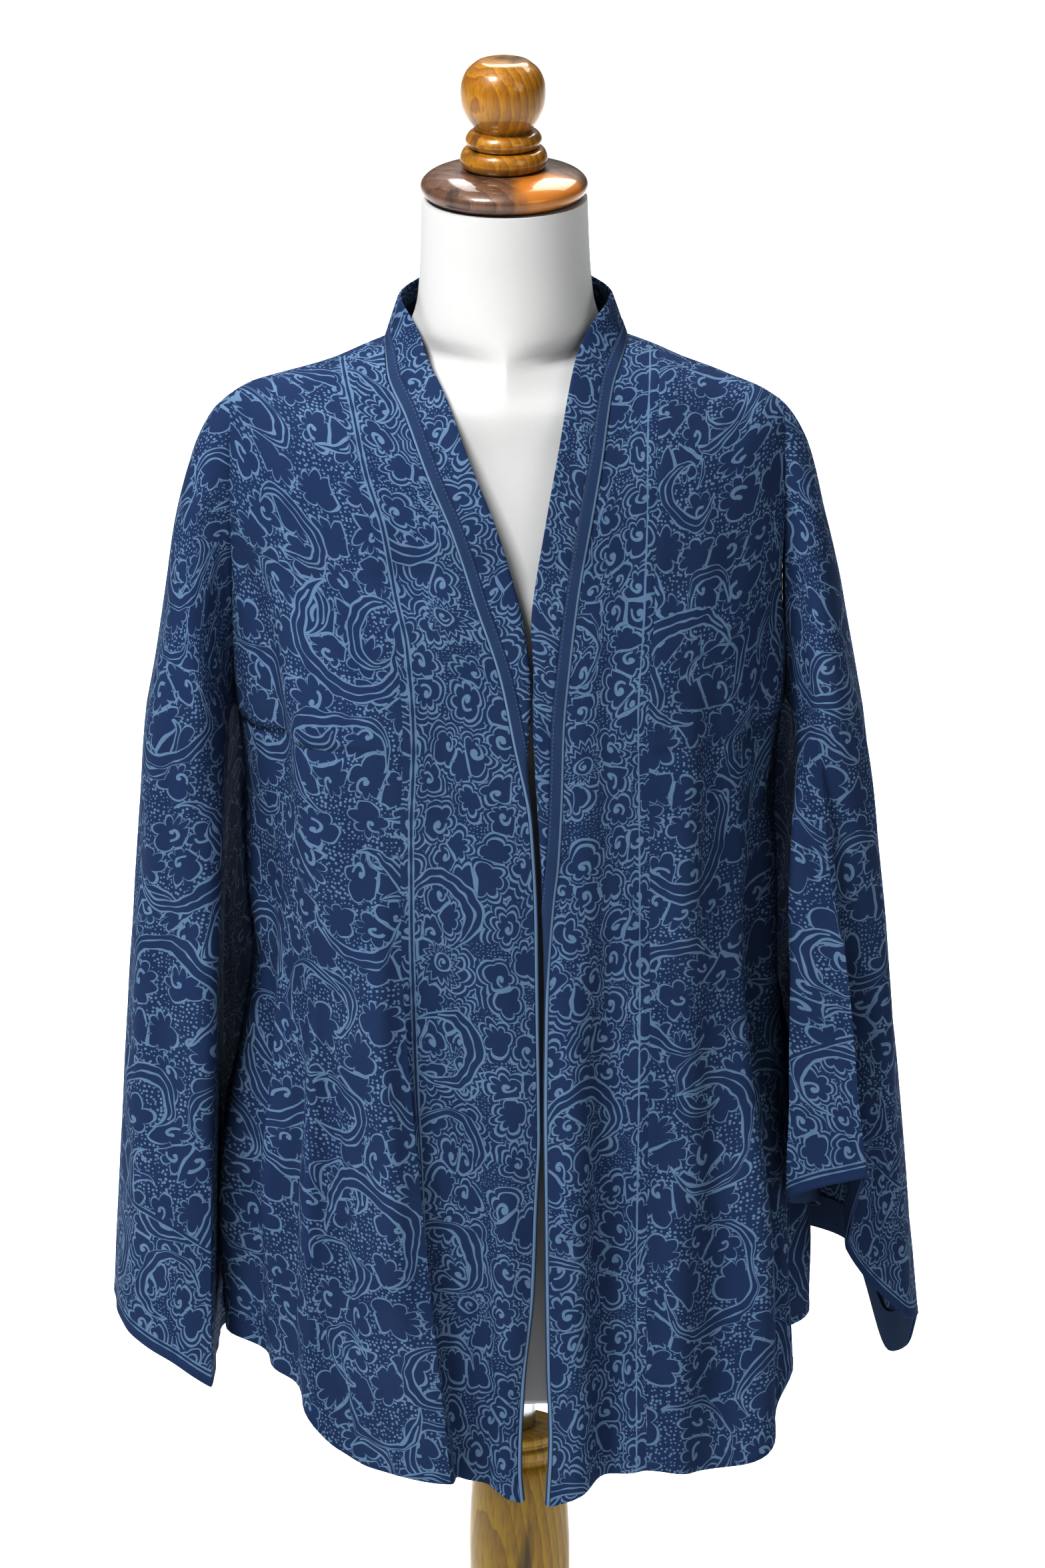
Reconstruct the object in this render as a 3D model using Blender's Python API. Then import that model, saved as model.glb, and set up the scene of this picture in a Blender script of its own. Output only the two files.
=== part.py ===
"""A batik kimono jacket worn by a limbless counter-top dress form.

Metres, +Z up, +X towards the wearer's left, the fronts facing -Y. The origin is the middle of
the base's underside. Heights on the jacket and the torso are given as drops below the middle
of the wooden neck cap.
"""

import math

import bmesh
import bpy
import numpy as np

# Driving sizes
CAP_HEIGHT = 1.25
CLOTH = 0.0015
BAND_CLOTH = 0.0022
SEAM_GAP = 0.0003
TINY = 1e-4

# The shoulder seams: their drop at each distance from the centre line
SHOULDER = {
    "out": (0.083, 0.100, 0.120, 0.140, 0.155, 0.175, 0.190),
    "right": (0.1105, 0.1168, 0.1255, 0.1310, 0.1345, 0.1400, 0.1480),
    "left": (0.1105, 0.1172, 0.1260, 0.1338, 0.1398, 0.1482, 0.1580),
}
NECK_OUT = 0.083
NECK_BACK = 0.0665
NECK_SIDE_DROP = SHOULDER["right"][0]
NECK_BACK_DROP = 0.103
ARMHOLE_OUT = 0.190
ARMHOLE_HALF_DEPTH = 0.032
UNDERARM = 0.370
UNDERARM_IN = 0.0016
CHEST_DROP = 0.240
SHOULDER_SHARE = 0.20
UNDERARM_SHARE = 0.35

# The edge where each front meets the plain trim, as x at each drop
FRONT_EDGE_RIGHT = {
    "drop": (0.110, 0.121, 0.144, 0.178, 0.217, 0.261, 0.315, 0.359,
             0.421, 0.495, 0.642, 0.691, 0.760, 0.830, 0.892, 0.920),
    "x": (-0.083, -0.082, -0.070, -0.056, -0.039, -0.025, -0.0075, 0.001,
          0.0118, 0.0145, 0.0148, 0.0122, 0.0092, 0.0020, -0.0008, 0.0010),
}
FRONT_EDGE_LEFT = {
    "drop": (0.110, 0.131, 0.174, 0.207, 0.262, 0.310, 0.349, 0.403,
             0.449, 0.473, 0.513, 0.555, 0.648, 0.813, 0.866, 0.923),
    "x": (0.083, 0.073, 0.065, 0.0585, 0.0483, 0.0419, 0.0379, 0.0358,
          0.0329, 0.0299, 0.0265, 0.0245, 0.0230, 0.0232, 0.0245, 0.0215),
}

# The seam between the centre and the side panel of each front, as distance from the centre line
CENTRE_WIDTH = 0.070
PANEL_SEAM_RIGHT = {
    "drop": (0.125, 0.147, 0.183, 0.216, 0.262, 0.297, 0.362, 0.424, 0.498, 0.694, 0.890),
    "out": (0.119, 0.112, 0.103, 0.092, 0.084, 0.077, 0.0735, 0.076, 0.0765, 0.066, 0.052),
}
PANEL_SEAM_LEFT = {
    "drop": (0.123, 0.163, 0.212, 0.265, 0.353, 0.445, 0.550, 0.700, 0.896),
    "out": (0.105, 0.1027, 0.1016, 0.0991, 0.0930, 0.0933, 0.0935, 0.0915, 0.0894),
}

# The body of the jacket from the chest down: half width at the side seam and depths to the front and back
BODY = {
    "drop": (0.240, 0.300, 0.370, 0.450, 0.530, 0.600, 0.680, 0.750, 0.830, 0.920),
    "side": (0.190, 0.190, 0.188, 0.182, 0.180, 0.189, 0.204, 0.2075, 0.2065, 0.200),
    "front": (0.112, 0.124, 0.130, 0.132, 0.133, 0.134, 0.135, 0.135, 0.136, 0.136),
    "back": (0.098, 0.103, 0.106, 0.108, 0.111, 0.114, 0.118, 0.122, 0.126, 0.128),
}

# How square the body's section is, and how bluntly it rounds into the sides at two drops
SQUARENESS = 2.4
ROUNDING = ((0.26, 0.38), (0.80, 0.50))

# The hem's drop, from the front edge (0) over the panel seam (1) to the side seam (2)
HEM_SIDE_DROPS = {"right": 0.806, "left": 0.826}
HEM_BACK_DROP = 0.846
HEM_RIGHT = {
    "across": (0.0, 0.3, 0.5, 0.7, 1.0, 1.2, 1.3, 1.4, 1.5, 1.6, 1.8, 2.0),
    "drop": (0.916, 0.9104, 0.9042, 0.901, 0.894, 0.891, 0.8826, 0.858, 0.8416, 0.8337, 0.820, 0.806),
}
HEM_LEFT = {
    "across": (0.0, 0.3, 0.5, 0.8, 1.0, 1.2, 1.3, 1.4, 1.5, 1.6, 1.7, 2.0),
    "drop": (0.920, 0.9116, 0.9055, 0.900, 0.897, 0.9035, 0.900, 0.888, 0.867, 0.841, 0.832, 0.826),
}

# How a fold grows down the cloth, and its ridge and the troughs beside it as shares of its rise
FOLD_GROWTH = 1.3
RIDGE_HEIGHT = 1.35
TROUGH_DEPTH = 0.55
TROUGH_WIDTH = 2.2
# How much of a panel at its edges lies flat, in its own units across
FLAT_EDGE = {"front": 0.20, "back": 0.15}

# Folds of the fronts: where across the front they lie at the hem and where they start, and their rise
FOLDS_RIGHT = (
    {"top": 1.10, "hem": 1.00, "start": 0.40, "width": 0.10, "rise": 0.012, "lean": -0.010},
    {"top": 1.36, "hem": 1.38, "start": 0.45, "width": 0.07, "rise": 0.007, "lean": 0.0},
    {"top": 1.52, "hem": 1.56, "start": 0.50, "width": 0.07, "rise": 0.007, "lean": 0.0},
    {"top": 0.45, "hem": 0.50, "start": 0.50, "width": 0.16, "rise": 0.006, "lean": 0.0},
    {"top": 1.80, "hem": 1.78, "start": 0.55, "width": 0.06, "rise": 0.005, "lean": 0.0},
)
FOLDS_LEFT = (
    {"top": 1.16, "hem": 1.10, "start": 0.32, "width": 0.08, "rise": 0.008, "lean": 0.0},
    {"top": 1.42, "hem": 1.36, "start": 0.28, "width": 0.09, "rise": 0.010, "lean": 0.004},
    {"top": 1.66, "hem": 1.58, "start": 0.40, "width": 0.07, "rise": 0.008, "lean": 0.0},
    {"top": 0.50, "hem": 0.55, "start": 0.50, "width": 0.18, "rise": 0.006, "lean": 0.0},
)
# Folds of the back, across it from the right side seam (-1) to the left one (1)
FOLDS_BACK = (
    {"top": -0.56, "hem": -0.66, "start": 0.40, "width": 0.07, "rise": 0.010, "lean": 0.0},
    {"top": -0.30, "hem": -0.34, "start": 0.30, "width": 0.07, "rise": 0.012, "lean": 0.0},
    {"top": -0.04, "hem": -0.06, "start": 0.35, "width": 0.08, "rise": 0.012, "lean": 0.0},
    {"top": 0.24, "hem": 0.27, "start": 0.30, "width": 0.07, "rise": 0.011, "lean": 0.0},
    {"top": 0.52, "hem": 0.62, "start": 0.42, "width": 0.08, "rise": 0.010, "lean": 0.0},
)

# How far the trim and the band show before they roll under, at each drop
ROLL_RIGHT = {
    "drop": (0.110, 0.261, 0.300, 0.340, 0.359, 0.388, 0.421, 0.500, 0.930),
    "shows": (0.0320, 0.0290, 0.0220, 0.0138, 0.0088, 0.0026, 0.0006, 0.0004, 0.0004),
}
ROLL_LEFT = {
    "drop": (0.110, 0.262, 0.310, 0.349, 0.403, 0.449, 0.473, 0.513, 0.555, 0.930),
    "shows": (0.0320, 0.0300, 0.0232, 0.0196, 0.0155, 0.0104, 0.0068, 0.0026, 0.0006, 0.0004),
}
ROLL_RADIUS = 0.0021
ROLL_ANGLE = math.radians(162)
TRIM_WIDTH = 0.0098
BAND_END = 0.0320
NECK_SHARE = 0.14
# How much further the band starts from the seam where it stands up from the cloth
BAND_SEAT = 0.0009

# Which way the band leans away from the front's edge: towards the centre, forwards and up
BAND_LEAN = {
    "drop": (0.110, 0.121, 0.144, 0.178, 0.217, 0.262, 0.320, 0.930),
    "inward": (0.33, 0.78, 0.86, 0.94, 0.98, 1.00, 1.00, 1.00),
    "forward": (0.02, 0.02, 0.06, 0.12, 0.14, 0.12, 0.06, 0.02),
    "up": (0.94, 0.62, 0.50, 0.32, 0.16, 0.05, 0.0, 0.0),
}
# The drops between which the band comes to lie flush with the front
BAND_FLAT = (0.20, 0.28)
# Round the back of the neck: how far the standing band leans in, by the angle from the side
NECK_LEAN = {"angle": (0.0, 30.0, 60.0, 90.0), "inward": (0.33, 0.36, 0.13, 0.04)}

# The outer line of the sleeves where they fall from the shoulder
OUTER_RIGHT = {
    "drop": (0.148, 0.160, 0.190, 0.247, 0.315, 0.376),
    "out": (0.190, 0.2020, 0.2165, 0.2306, 0.2413, 0.2525),
}
OUTER_LEFT = {
    "drop": (0.158, 0.170, 0.190, 0.235, 0.285, 0.352, 0.376),
    "out": (0.190, 0.1985, 0.2075, 0.2180, 0.2288, 0.2395, 0.2435),
}
ELBOW_RADIUS = 0.0045
ELBOW_SHARE = 0.34
ELBOW_DEPTH = 0.064
ELBOW_POWER = 2.7

# The open end of each sleeve: corners round it, by angle from the outer line over the front, and
# how fast each spreads from the elbow. The inner corner at the back tucks in behind the body.
CUFF_RIGHT = {
    "angle": (0, 40, 85, 130, 165, 205, 240, 275, 320),
    "elbow": (0, 42, 88, 130, 165, 195, 222, 275, 320),
    "out": (0.2850, 0.2735, 0.2450, 0.2155, 0.2135, 0.2120, 0.1740, 0.2430, 0.2745),
    "back": (0.010, -0.036, -0.062, -0.071, -0.030, 0.030, 0.094, 0.088, 0.058),
    "drop": (0.812, 0.824, 0.836, 0.853, 0.850, 0.849, 0.850, 0.842, 0.822),
    "flare": (0.72, 0.72, 0.72, 0.72, 0.72, 0.72, 0.25, 0.72, 0.72),
}
CUFF_LEFT = {
    "angle": (0, 30, 60, 84, 120, 150, 190, 230, 270, 315, 338),
    "elbow": (0, 48, 92, 112, 138, 158, 190, 222, 268, 312, 338),
    "out": (0.2835, 0.2755, 0.2330, 0.2440, 0.1890, 0.2090, 0.2135, 0.1740, 0.2380, 0.2670, 0.2775),
    "back": (0.004, -0.030, -0.046, -0.084, -0.082, -0.045, 0.020, 0.093, 0.086, 0.052, 0.032),
    "drop": (0.833, 0.822, 0.760, 0.696, 0.713, 0.728, 0.756, 0.784, 0.808, 0.879, 0.868),
    "flare": (0.72, 0.72, 0.72, 0.72, 0.72, 0.72, 0.72, 0.45, 0.72, 0.72, 0.72),
}
FACING_HEIGHT = 0.012
FACING_CLOTH = 0.001
FACING_GAP = 0.0008

# The torso: half width, depths to the front and back, and how square it is, at each drop
TORSO_NECK = {
    "drop": (0.0104, 0.050, 0.080, 0.098),
    "wide": (0.0568, 0.0580, 0.0603, 0.0660),
    "front": (0.0568, 0.0580, 0.0608, 0.0640),
    "back": (0.0568, 0.0580, 0.0590, 0.0600),
    "square": (2.0, 2.0, 1.95, 1.7),
}
TORSO_BODY = {
    "drop": (0.168, 0.210, 0.250, 0.300, 0.360, 0.440, 0.520, 0.640, 0.750, 0.835, 0.850, 0.8545),
    "wide": (0.1640, 0.1650, 0.1620, 0.1560, 0.1420, 0.1250, 0.1380, 0.1660, 0.1680, 0.1640, 0.1620, 0.1560),
    "front": (0.0810, 0.0915, 0.1015, 0.1120, 0.1070, 0.0900, 0.0980, 0.1150, 0.1160, 0.1130, 0.1110, 0.1050),
    "back": (0.0700, 0.0790, 0.0840, 0.0860, 0.0850, 0.0780, 0.0850, 0.0970, 0.0990, 0.0970, 0.0950, 0.0900),
    "square": (1.9, 2.0, 2.1, 2.1, 2.1, 2.1, 2.1, 2.1, 2.1, 2.1, 2.1, 2.1),
}
# The torso's shoulders lie just under the jacket's shoulder seams, at these distances out
TORSO_SHOULDER = {
    "wide": (0.083, 0.100, 0.120, 0.140, 0.155),
    "front": (0.0670, 0.0690, 0.0715, 0.0740, 0.0765),
    "back": (0.0600, 0.0600, 0.0610, 0.0630, 0.0660),
    "square": (1.22, 1.25, 1.32, 1.45, 1.6),
}
TORSO_CLEAR = 0.0015

# Turned profiles as radius and height from the middle of the neck cap
FINIAL = (
    (0.0148, 0.0862), (0.0185, 0.0848), (0.0245, 0.0795), (0.0283, 0.0715), (0.0291, 0.0625),
    (0.0280, 0.0535), (0.0240, 0.0445), (0.0195, 0.0390), (0.0190, 0.0375), (0.0235, 0.0360),
    (0.0262, 0.0312), (0.0245, 0.0270), (0.0225, 0.0256), (0.0275, 0.0241), (0.0300, 0.0183),
    (0.0285, 0.0130), (0.0265, 0.0112),
)
NECK_CAP = (
    (0.0300, 0.0108), (0.0400, 0.0095), (0.0500, 0.0068), (0.0555, 0.0030), (0.0573, -0.0010),
    (0.0560, -0.0055), (0.0520, -0.0090), (0.0470, -0.0101),
)
COLUMN = (
    (0.0290, -0.9120), (0.0303, -0.9135), (0.0303, -0.9175), (0.0288, -0.9195), (0.0288, -0.9215),
    (0.0306, -0.9235), (0.0306, -0.9290), (0.0292, -0.9310), (0.0292, -0.9340), (0.0312, -0.9400),
    (0.0338, -0.9600), (0.0352, -0.9850), (0.0357, -1.0100), (0.0345, -1.0500), (0.0305, -1.1000),
    (0.0262, -1.1400), (0.0240, -1.1650), (0.0290, -1.1720), (0.0330, -1.1810), (0.0330, -1.1900),
    (0.0290, -1.1960), (0.0360, -1.2020), (0.0420, -1.2147),
)
BASE_RADIUS = 0.135
BASE = (
    (0.0500, -1.2150), (0.0900, -1.2170), (0.1240, -1.2230), (BASE_RADIUS, -1.2320), (BASE_RADIUS, -1.2450),
    (0.1310, -1.2500),
)
ROD_RADIUS = 0.0125
ROD_TOP = -0.8548
ROD_FOOT = -0.9117

# Steps of the meshes
CAP_ROWS = 6
CHEST_ROWS = 4
SKIRT_ROWS = 10
SKIRT_SPREAD = 1.2
NECK_STEPS = 10
CENTRE_COLUMNS = 6
SIDE_COLUMNS = 13
BACK_COLUMNS = (8, 12, 9)
TRIM_STEPS = 3
BAND_STEPS = 5
TURNED_STEPS = {"finial": 24, "neck_cap": 32, "rod": 20, "column": 24, "base": 40}
SLEEVE_STEPS = 3
ELBOW_ROWS = 7
SLEEVE_ROWS = 9
TORSO_ROUND = 36

HOLDER = "neck_cap_middle"

# Colours: linear red, green and blue, then roughness and metallic
FINISHES = {
    "printed_cotton": ((0.030, 0.058, 0.130), 0.85, 0.0),
    "plain_cotton": ((0.018, 0.030, 0.082), 0.85, 0.0),
    "jersey": ((0.83, 0.83, 0.82), 0.9, 0.0),
    "varnished_wood": ((0.35, 0.13, 0.02), 0.25, 0.0),
    "steel": ((0.60, 0.61, 0.62), 0.25, 1.0),
}


def smooth(places, values, at):
    """A smooth line through the values, which never swings past a step between two of them."""
    places = np.asarray(places, float)
    values = np.asarray(values, float)
    at = np.clip(np.asarray(at, float), places[0], places[-1])
    run = np.diff(places)
    slope = np.diff(values) / run
    ends = np.concatenate([[slope[0]], np.zeros(len(slope) - 1), [slope[-1]]])
    same = slope[:-1] * slope[1:] > 0
    mean = 2 * slope[:-1] * slope[1:] / np.where(same, slope[:-1] + slope[1:], 1.0)
    ends[1:-1] = np.where(same, mean, 0.0)
    i = np.clip(np.searchsorted(places, at, side="right") - 1, 0, len(run) - 1)
    t = (at - places[i]) / run[i]
    hold = (1 + 2 * t) * (1 - t) ** 2 * values[i] + t**2 * (3 - 2 * t) * values[i + 1]
    return hold + run[i] * (t * (1 - t) ** 2 * ends[i] - t**2 * (1 - t) * ends[i + 1])


def smooth_round(degrees, values, at):
    """A smooth closed line through values given at angles in degrees."""
    places = np.asarray(degrees, float)
    values = np.asarray(values, float)
    places = np.concatenate([places - 360, places, places + 360])
    return smooth(places, np.tile(values, 3), np.mod(at, 360.0))


def shoulder_drop(side, out):
    """The shoulder seam's drop at a distance out, on the right (side below 0) or the left."""
    right = smooth(SHOULDER["out"], SHOULDER["right"], out)
    left = smooth(SHOULDER["out"], SHOULDER["left"], out)
    return np.where(np.asarray(side) < 0, right, left)


def armhole_middle(side):
    """The drop of the armhole's middle, and half its height."""
    top = shoulder_drop(side, ARMHOLE_OUT)
    return (top + UNDERARM) / 2, (UNDERARM - top) / 2


def unit(v):
    return v / np.maximum(np.linalg.norm(v, axis=-1, keepdims=True), 1e-12)


def place_at(x, y, drop):
    """A place from its x, its y and its drop below the neck cap's middle."""
    x, y, drop = np.broadcast_arrays(x, y, drop)
    return np.stack([x, y, -drop], axis=-1)


def depth_at(x, drop, deep, wide, side):
    """How far the jacket stands from the centre plane at x, round from the armhole or side seam."""
    mid, half = armhole_middle(side)
    low = np.clip((drop - mid) / half, 0, 1)
    arm = ARMHOLE_HALF_DEPTH * np.sqrt(1 - low**2)
    share = np.clip(np.abs(x) / wide, 0, 1)
    root = np.interp(drop, *ROUNDING)
    return arm + (deep - arm) * (1 - share**SQUARENESS) ** root


def side_hem(side):
    """The hem's drop at the right (side below 0) or the left side seam."""
    return np.where(np.asarray(side) < 0, HEM_SIDE_DROPS["right"], HEM_SIDE_DROPS["left"])


def drop_down(fall, low, hem):
    """The drop below the chest: first to the underarm's level, then on to the hem."""
    chest = np.clip((fall - SHOULDER_SHARE) / (UNDERARM_SHARE - SHOULDER_SHARE), 0, 1)
    skirt = np.clip((fall - UNDERARM_SHARE) / (1 - UNDERARM_SHARE), 0, 1.02)
    return low + (UNDERARM - low) * chest + (hem - UNDERARM) * skirt


def side_line(drop):
    """Half the jacket's width: the armhole's plane above the underarm, then the side seam."""
    return np.where(drop < UNDERARM - TINY, ARMHOLE_OUT, smooth(BODY["drop"], BODY["side"], drop))


def fold_shift(folds, across, fall, waves):
    """How far the folds lift the cloth outwards and slide it along at a place on a panel."""
    out = np.zeros(np.broadcast(across, fall).shape)
    along = np.zeros_like(out)
    for fold in folds:
        grown = np.clip((fall - fold["start"]) / (1 - fold["start"]), 0, 1) ** FOLD_GROWTH
        place = fold["top"] + (fold["hem"] - fold["top"]) * fall
        ridge = np.exp(-(((across - place) / fold["width"]) ** 2))
        trough = np.exp(-(((across - place) / (TROUGH_WIDTH * fold["width"])) ** 2))
        out = out + grown * fold["rise"] * (RIDGE_HEIGHT * ridge - TROUGH_DEPTH * trough)
        along = along + grown * fold["lean"] * ridge
    return out * waves, along * waves


class Front:
    """One front of the jacket, from its edge (0) over the panel seam (1) to the side (2)."""

    def __init__(self, side, edge, seam, hem, folds):
        self.side = side
        self.edge = edge
        self.seam = seam
        self.hem = hem
        self.folds = folds

    def out_at(self, across, edge, seam, wide):
        """The distance out from the centre line at a place across, and its angle round the side."""
        angles = [np.arcsin(np.clip(v / wide, -1, 1)) for v in (edge, seam)]
        inner = angles[0] + (angles[1] - angles[0]) * across
        outer = angles[1] + (math.pi / 2 - angles[1]) * (across - 1)
        angle = np.minimum(np.where(across < 1, inner, outer), math.pi / 2)
        return wide * np.sin(angle), angle

    def drop(self, across, fall):
        """The drop of a place on the front: over the shoulder's roll, then straight down."""
        tops = self.out_at(across, NECK_OUT, self.seam["out"][0], ARMHOLE_OUT)
        top = shoulder_drop(self.side, tops[0])
        mid = armhole_middle(self.side)[0]
        low = CHEST_DROP + (mid - CHEST_DROP) * np.clip(across / 2, 0, 1)
        hem = smooth(self.hem["across"], self.hem["drop"], across)
        turn = np.clip(fall / SHOULDER_SHARE, 0, 1) * math.pi / 2
        return drop_down(fall, low, hem) - (low - top) * np.cos(turn), turn, low

    def point(self, across, fall):
        across, fall = np.broadcast_arrays(np.asarray(across, float), np.asarray(fall, float))
        drop, turn, low = self.drop(across, fall)
        zero = np.zeros_like(across)
        edge = self.side * smooth(self.edge["drop"], self.edge["x"], self.drop(zero, fall)[0])
        seam = smooth(self.seam["drop"], self.seam["out"], self.drop(zero + 1, fall)[0])
        wide = side_line(drop_down(fall, armhole_middle(self.side)[0], side_hem(self.side)))
        x, angle = self.out_at(across, edge, seam, wide)
        held = np.maximum(drop, low)
        deep = smooth(BODY["drop"], BODY["front"], held)
        y = -depth_at(x, held, deep, wide, self.side) * np.sin(turn)
        edge_flat = FLAT_EDGE["front"]
        quiet = np.clip(across / edge_flat, 0, 1) * np.clip((2 - across) / edge_flat, 0, 1)
        out, along = fold_shift(self.folds, across, fall, quiet)
        x = x + out * np.sin(angle) + along * np.cos(angle)
        y = y - out * np.cos(angle) + along * np.sin(angle)
        return place_at(self.side * x, y, drop)


class Back:
    """The back of the jacket, from the right side seam (-1) to the left one (1)."""

    def point(self, across, fall):
        across, fall = np.broadcast_arrays(np.asarray(across, float), np.asarray(fall, float))
        angle = across * math.pi / 2
        mid = armhole_middle(across)[0]
        low = CHEST_DROP + (mid - CHEST_DROP) * across**2
        top_x = ARMHOLE_OUT * np.abs(np.sin(angle))
        deep_low = smooth(BODY["drop"], BODY["back"], low)
        full = depth_at(top_x, low, deep_low, ARMHOLE_OUT, across)
        inside = np.sqrt(np.clip(1 - (top_x / NECK_OUT) ** 2, 0, 1))
        first = np.arcsin(np.clip(NECK_BACK * inside / full, 0, 0.95))
        edge = NECK_SIDE_DROP + (NECK_BACK_DROP - NECK_SIDE_DROP) * inside
        edge = np.where(top_x < NECK_OUT, edge, shoulder_drop(across, top_x))
        virtual = low - (low - edge) / np.cos(first)
        turn = first + (math.pi / 2 - first) * np.clip(fall / SHOULDER_SHARE, 0, 1)
        hem = HEM_BACK_DROP + (side_hem(across) - HEM_BACK_DROP) * across**2
        drop = drop_down(fall, low, hem) - (low - virtual) * np.cos(turn)
        wide = side_line(drop_down(fall, mid, side_hem(across)))
        x = wide * np.sin(angle)
        held = np.maximum(drop, low)
        deep = smooth(BODY["drop"], BODY["back"], held)
        y = depth_at(x, held, deep, wide, across) * np.sin(turn)
        quiet = np.clip((1 - np.abs(across)) / FLAT_EDGE["back"], 0, 1)
        out, along = fold_shift(FOLDS_BACK, across, fall, quiet)
        x = x + out * np.sin(angle) + along * np.cos(angle)
        y = y + out * np.cos(angle) - along * np.sin(angle)
        return place_at(x, y, drop)


class Sleeve:
    """A wide straight sleeve: round it in degrees from its outer line over the front, and along it."""

    def __init__(self, side, outer, cuff):
        self.side = side
        self.outer = outer
        self.cuff = cuff

    def columns(self):
        """Places round the sleeve, with one at each corner of its cuff."""
        angles = (*self.cuff["angle"], 360)
        spans = len(angles) - 1
        steps = np.linspace(0, spans, SLEEVE_STEPS * spans, endpoint=False)
        return np.interp(steps, np.arange(spans + 1), angles)

    def elbow(self, around, turn):
        """A ring of the bend where the sleeve falls from the armhole, at its turn in radians."""
        bent = np.clip(turn / (math.pi / 2), 0, 1)
        in_out = ARMHOLE_OUT + ELBOW_RADIUS * np.sin(turn)
        in_drop = UNDERARM + ELBOW_RADIUS * (1 - np.cos(turn))
        last = UNDERARM + ELBOW_RADIUS
        out_drop = self.outer["drop"][0] + (last - self.outer["drop"][0]) * bent
        out_out = smooth(self.outer["drop"], self.outer["out"], out_drop)
        deep = ARMHOLE_HALF_DEPTH + (ELBOW_DEPTH - ARMHOLE_HALF_DEPTH) * np.sin(turn)
        power = 2 / (2 + (ELBOW_POWER - 2) * bent)
        angle = np.radians(around)
        wide = np.sign(np.cos(angle)) * np.abs(np.cos(angle)) ** power
        front = np.sign(np.sin(angle)) * np.abs(np.sin(angle)) ** power
        x = (in_out + out_out) / 2 + (out_out - in_out) / 2 * wide
        drop = (in_drop + out_drop) / 2 + (out_drop - in_drop) / 2 * wide
        return x, -deep * front, drop

    def point(self, around, along):
        around, along = np.broadcast_arrays(np.asarray(around, float), np.asarray(along, float))
        turn = np.clip(along / ELBOW_SHARE, 0, 1) * math.pi / 2
        spread_round = smooth((*self.cuff["angle"], 360), (*self.cuff["elbow"], 360), np.mod(around, 360))
        x, y, drop = self.elbow(spread_round, turn)
        down = np.clip((along - ELBOW_SHARE) / (1 - ELBOW_SHARE), 0, 1.02)
        corners = self.cuff
        end_x = smooth_round(corners["angle"], corners["out"], around)
        end_y = smooth_round(corners["angle"], corners["back"], around)
        end_drop = smooth_round(corners["angle"], corners["drop"], around)
        spread = down ** smooth_round(corners["angle"], corners["flare"], around)
        x = x + (end_x - x) * spread
        y = y + (end_y - y) * spread
        drop = drop + (end_drop - drop) * down
        return place_at(self.side * x, y, drop)


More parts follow.
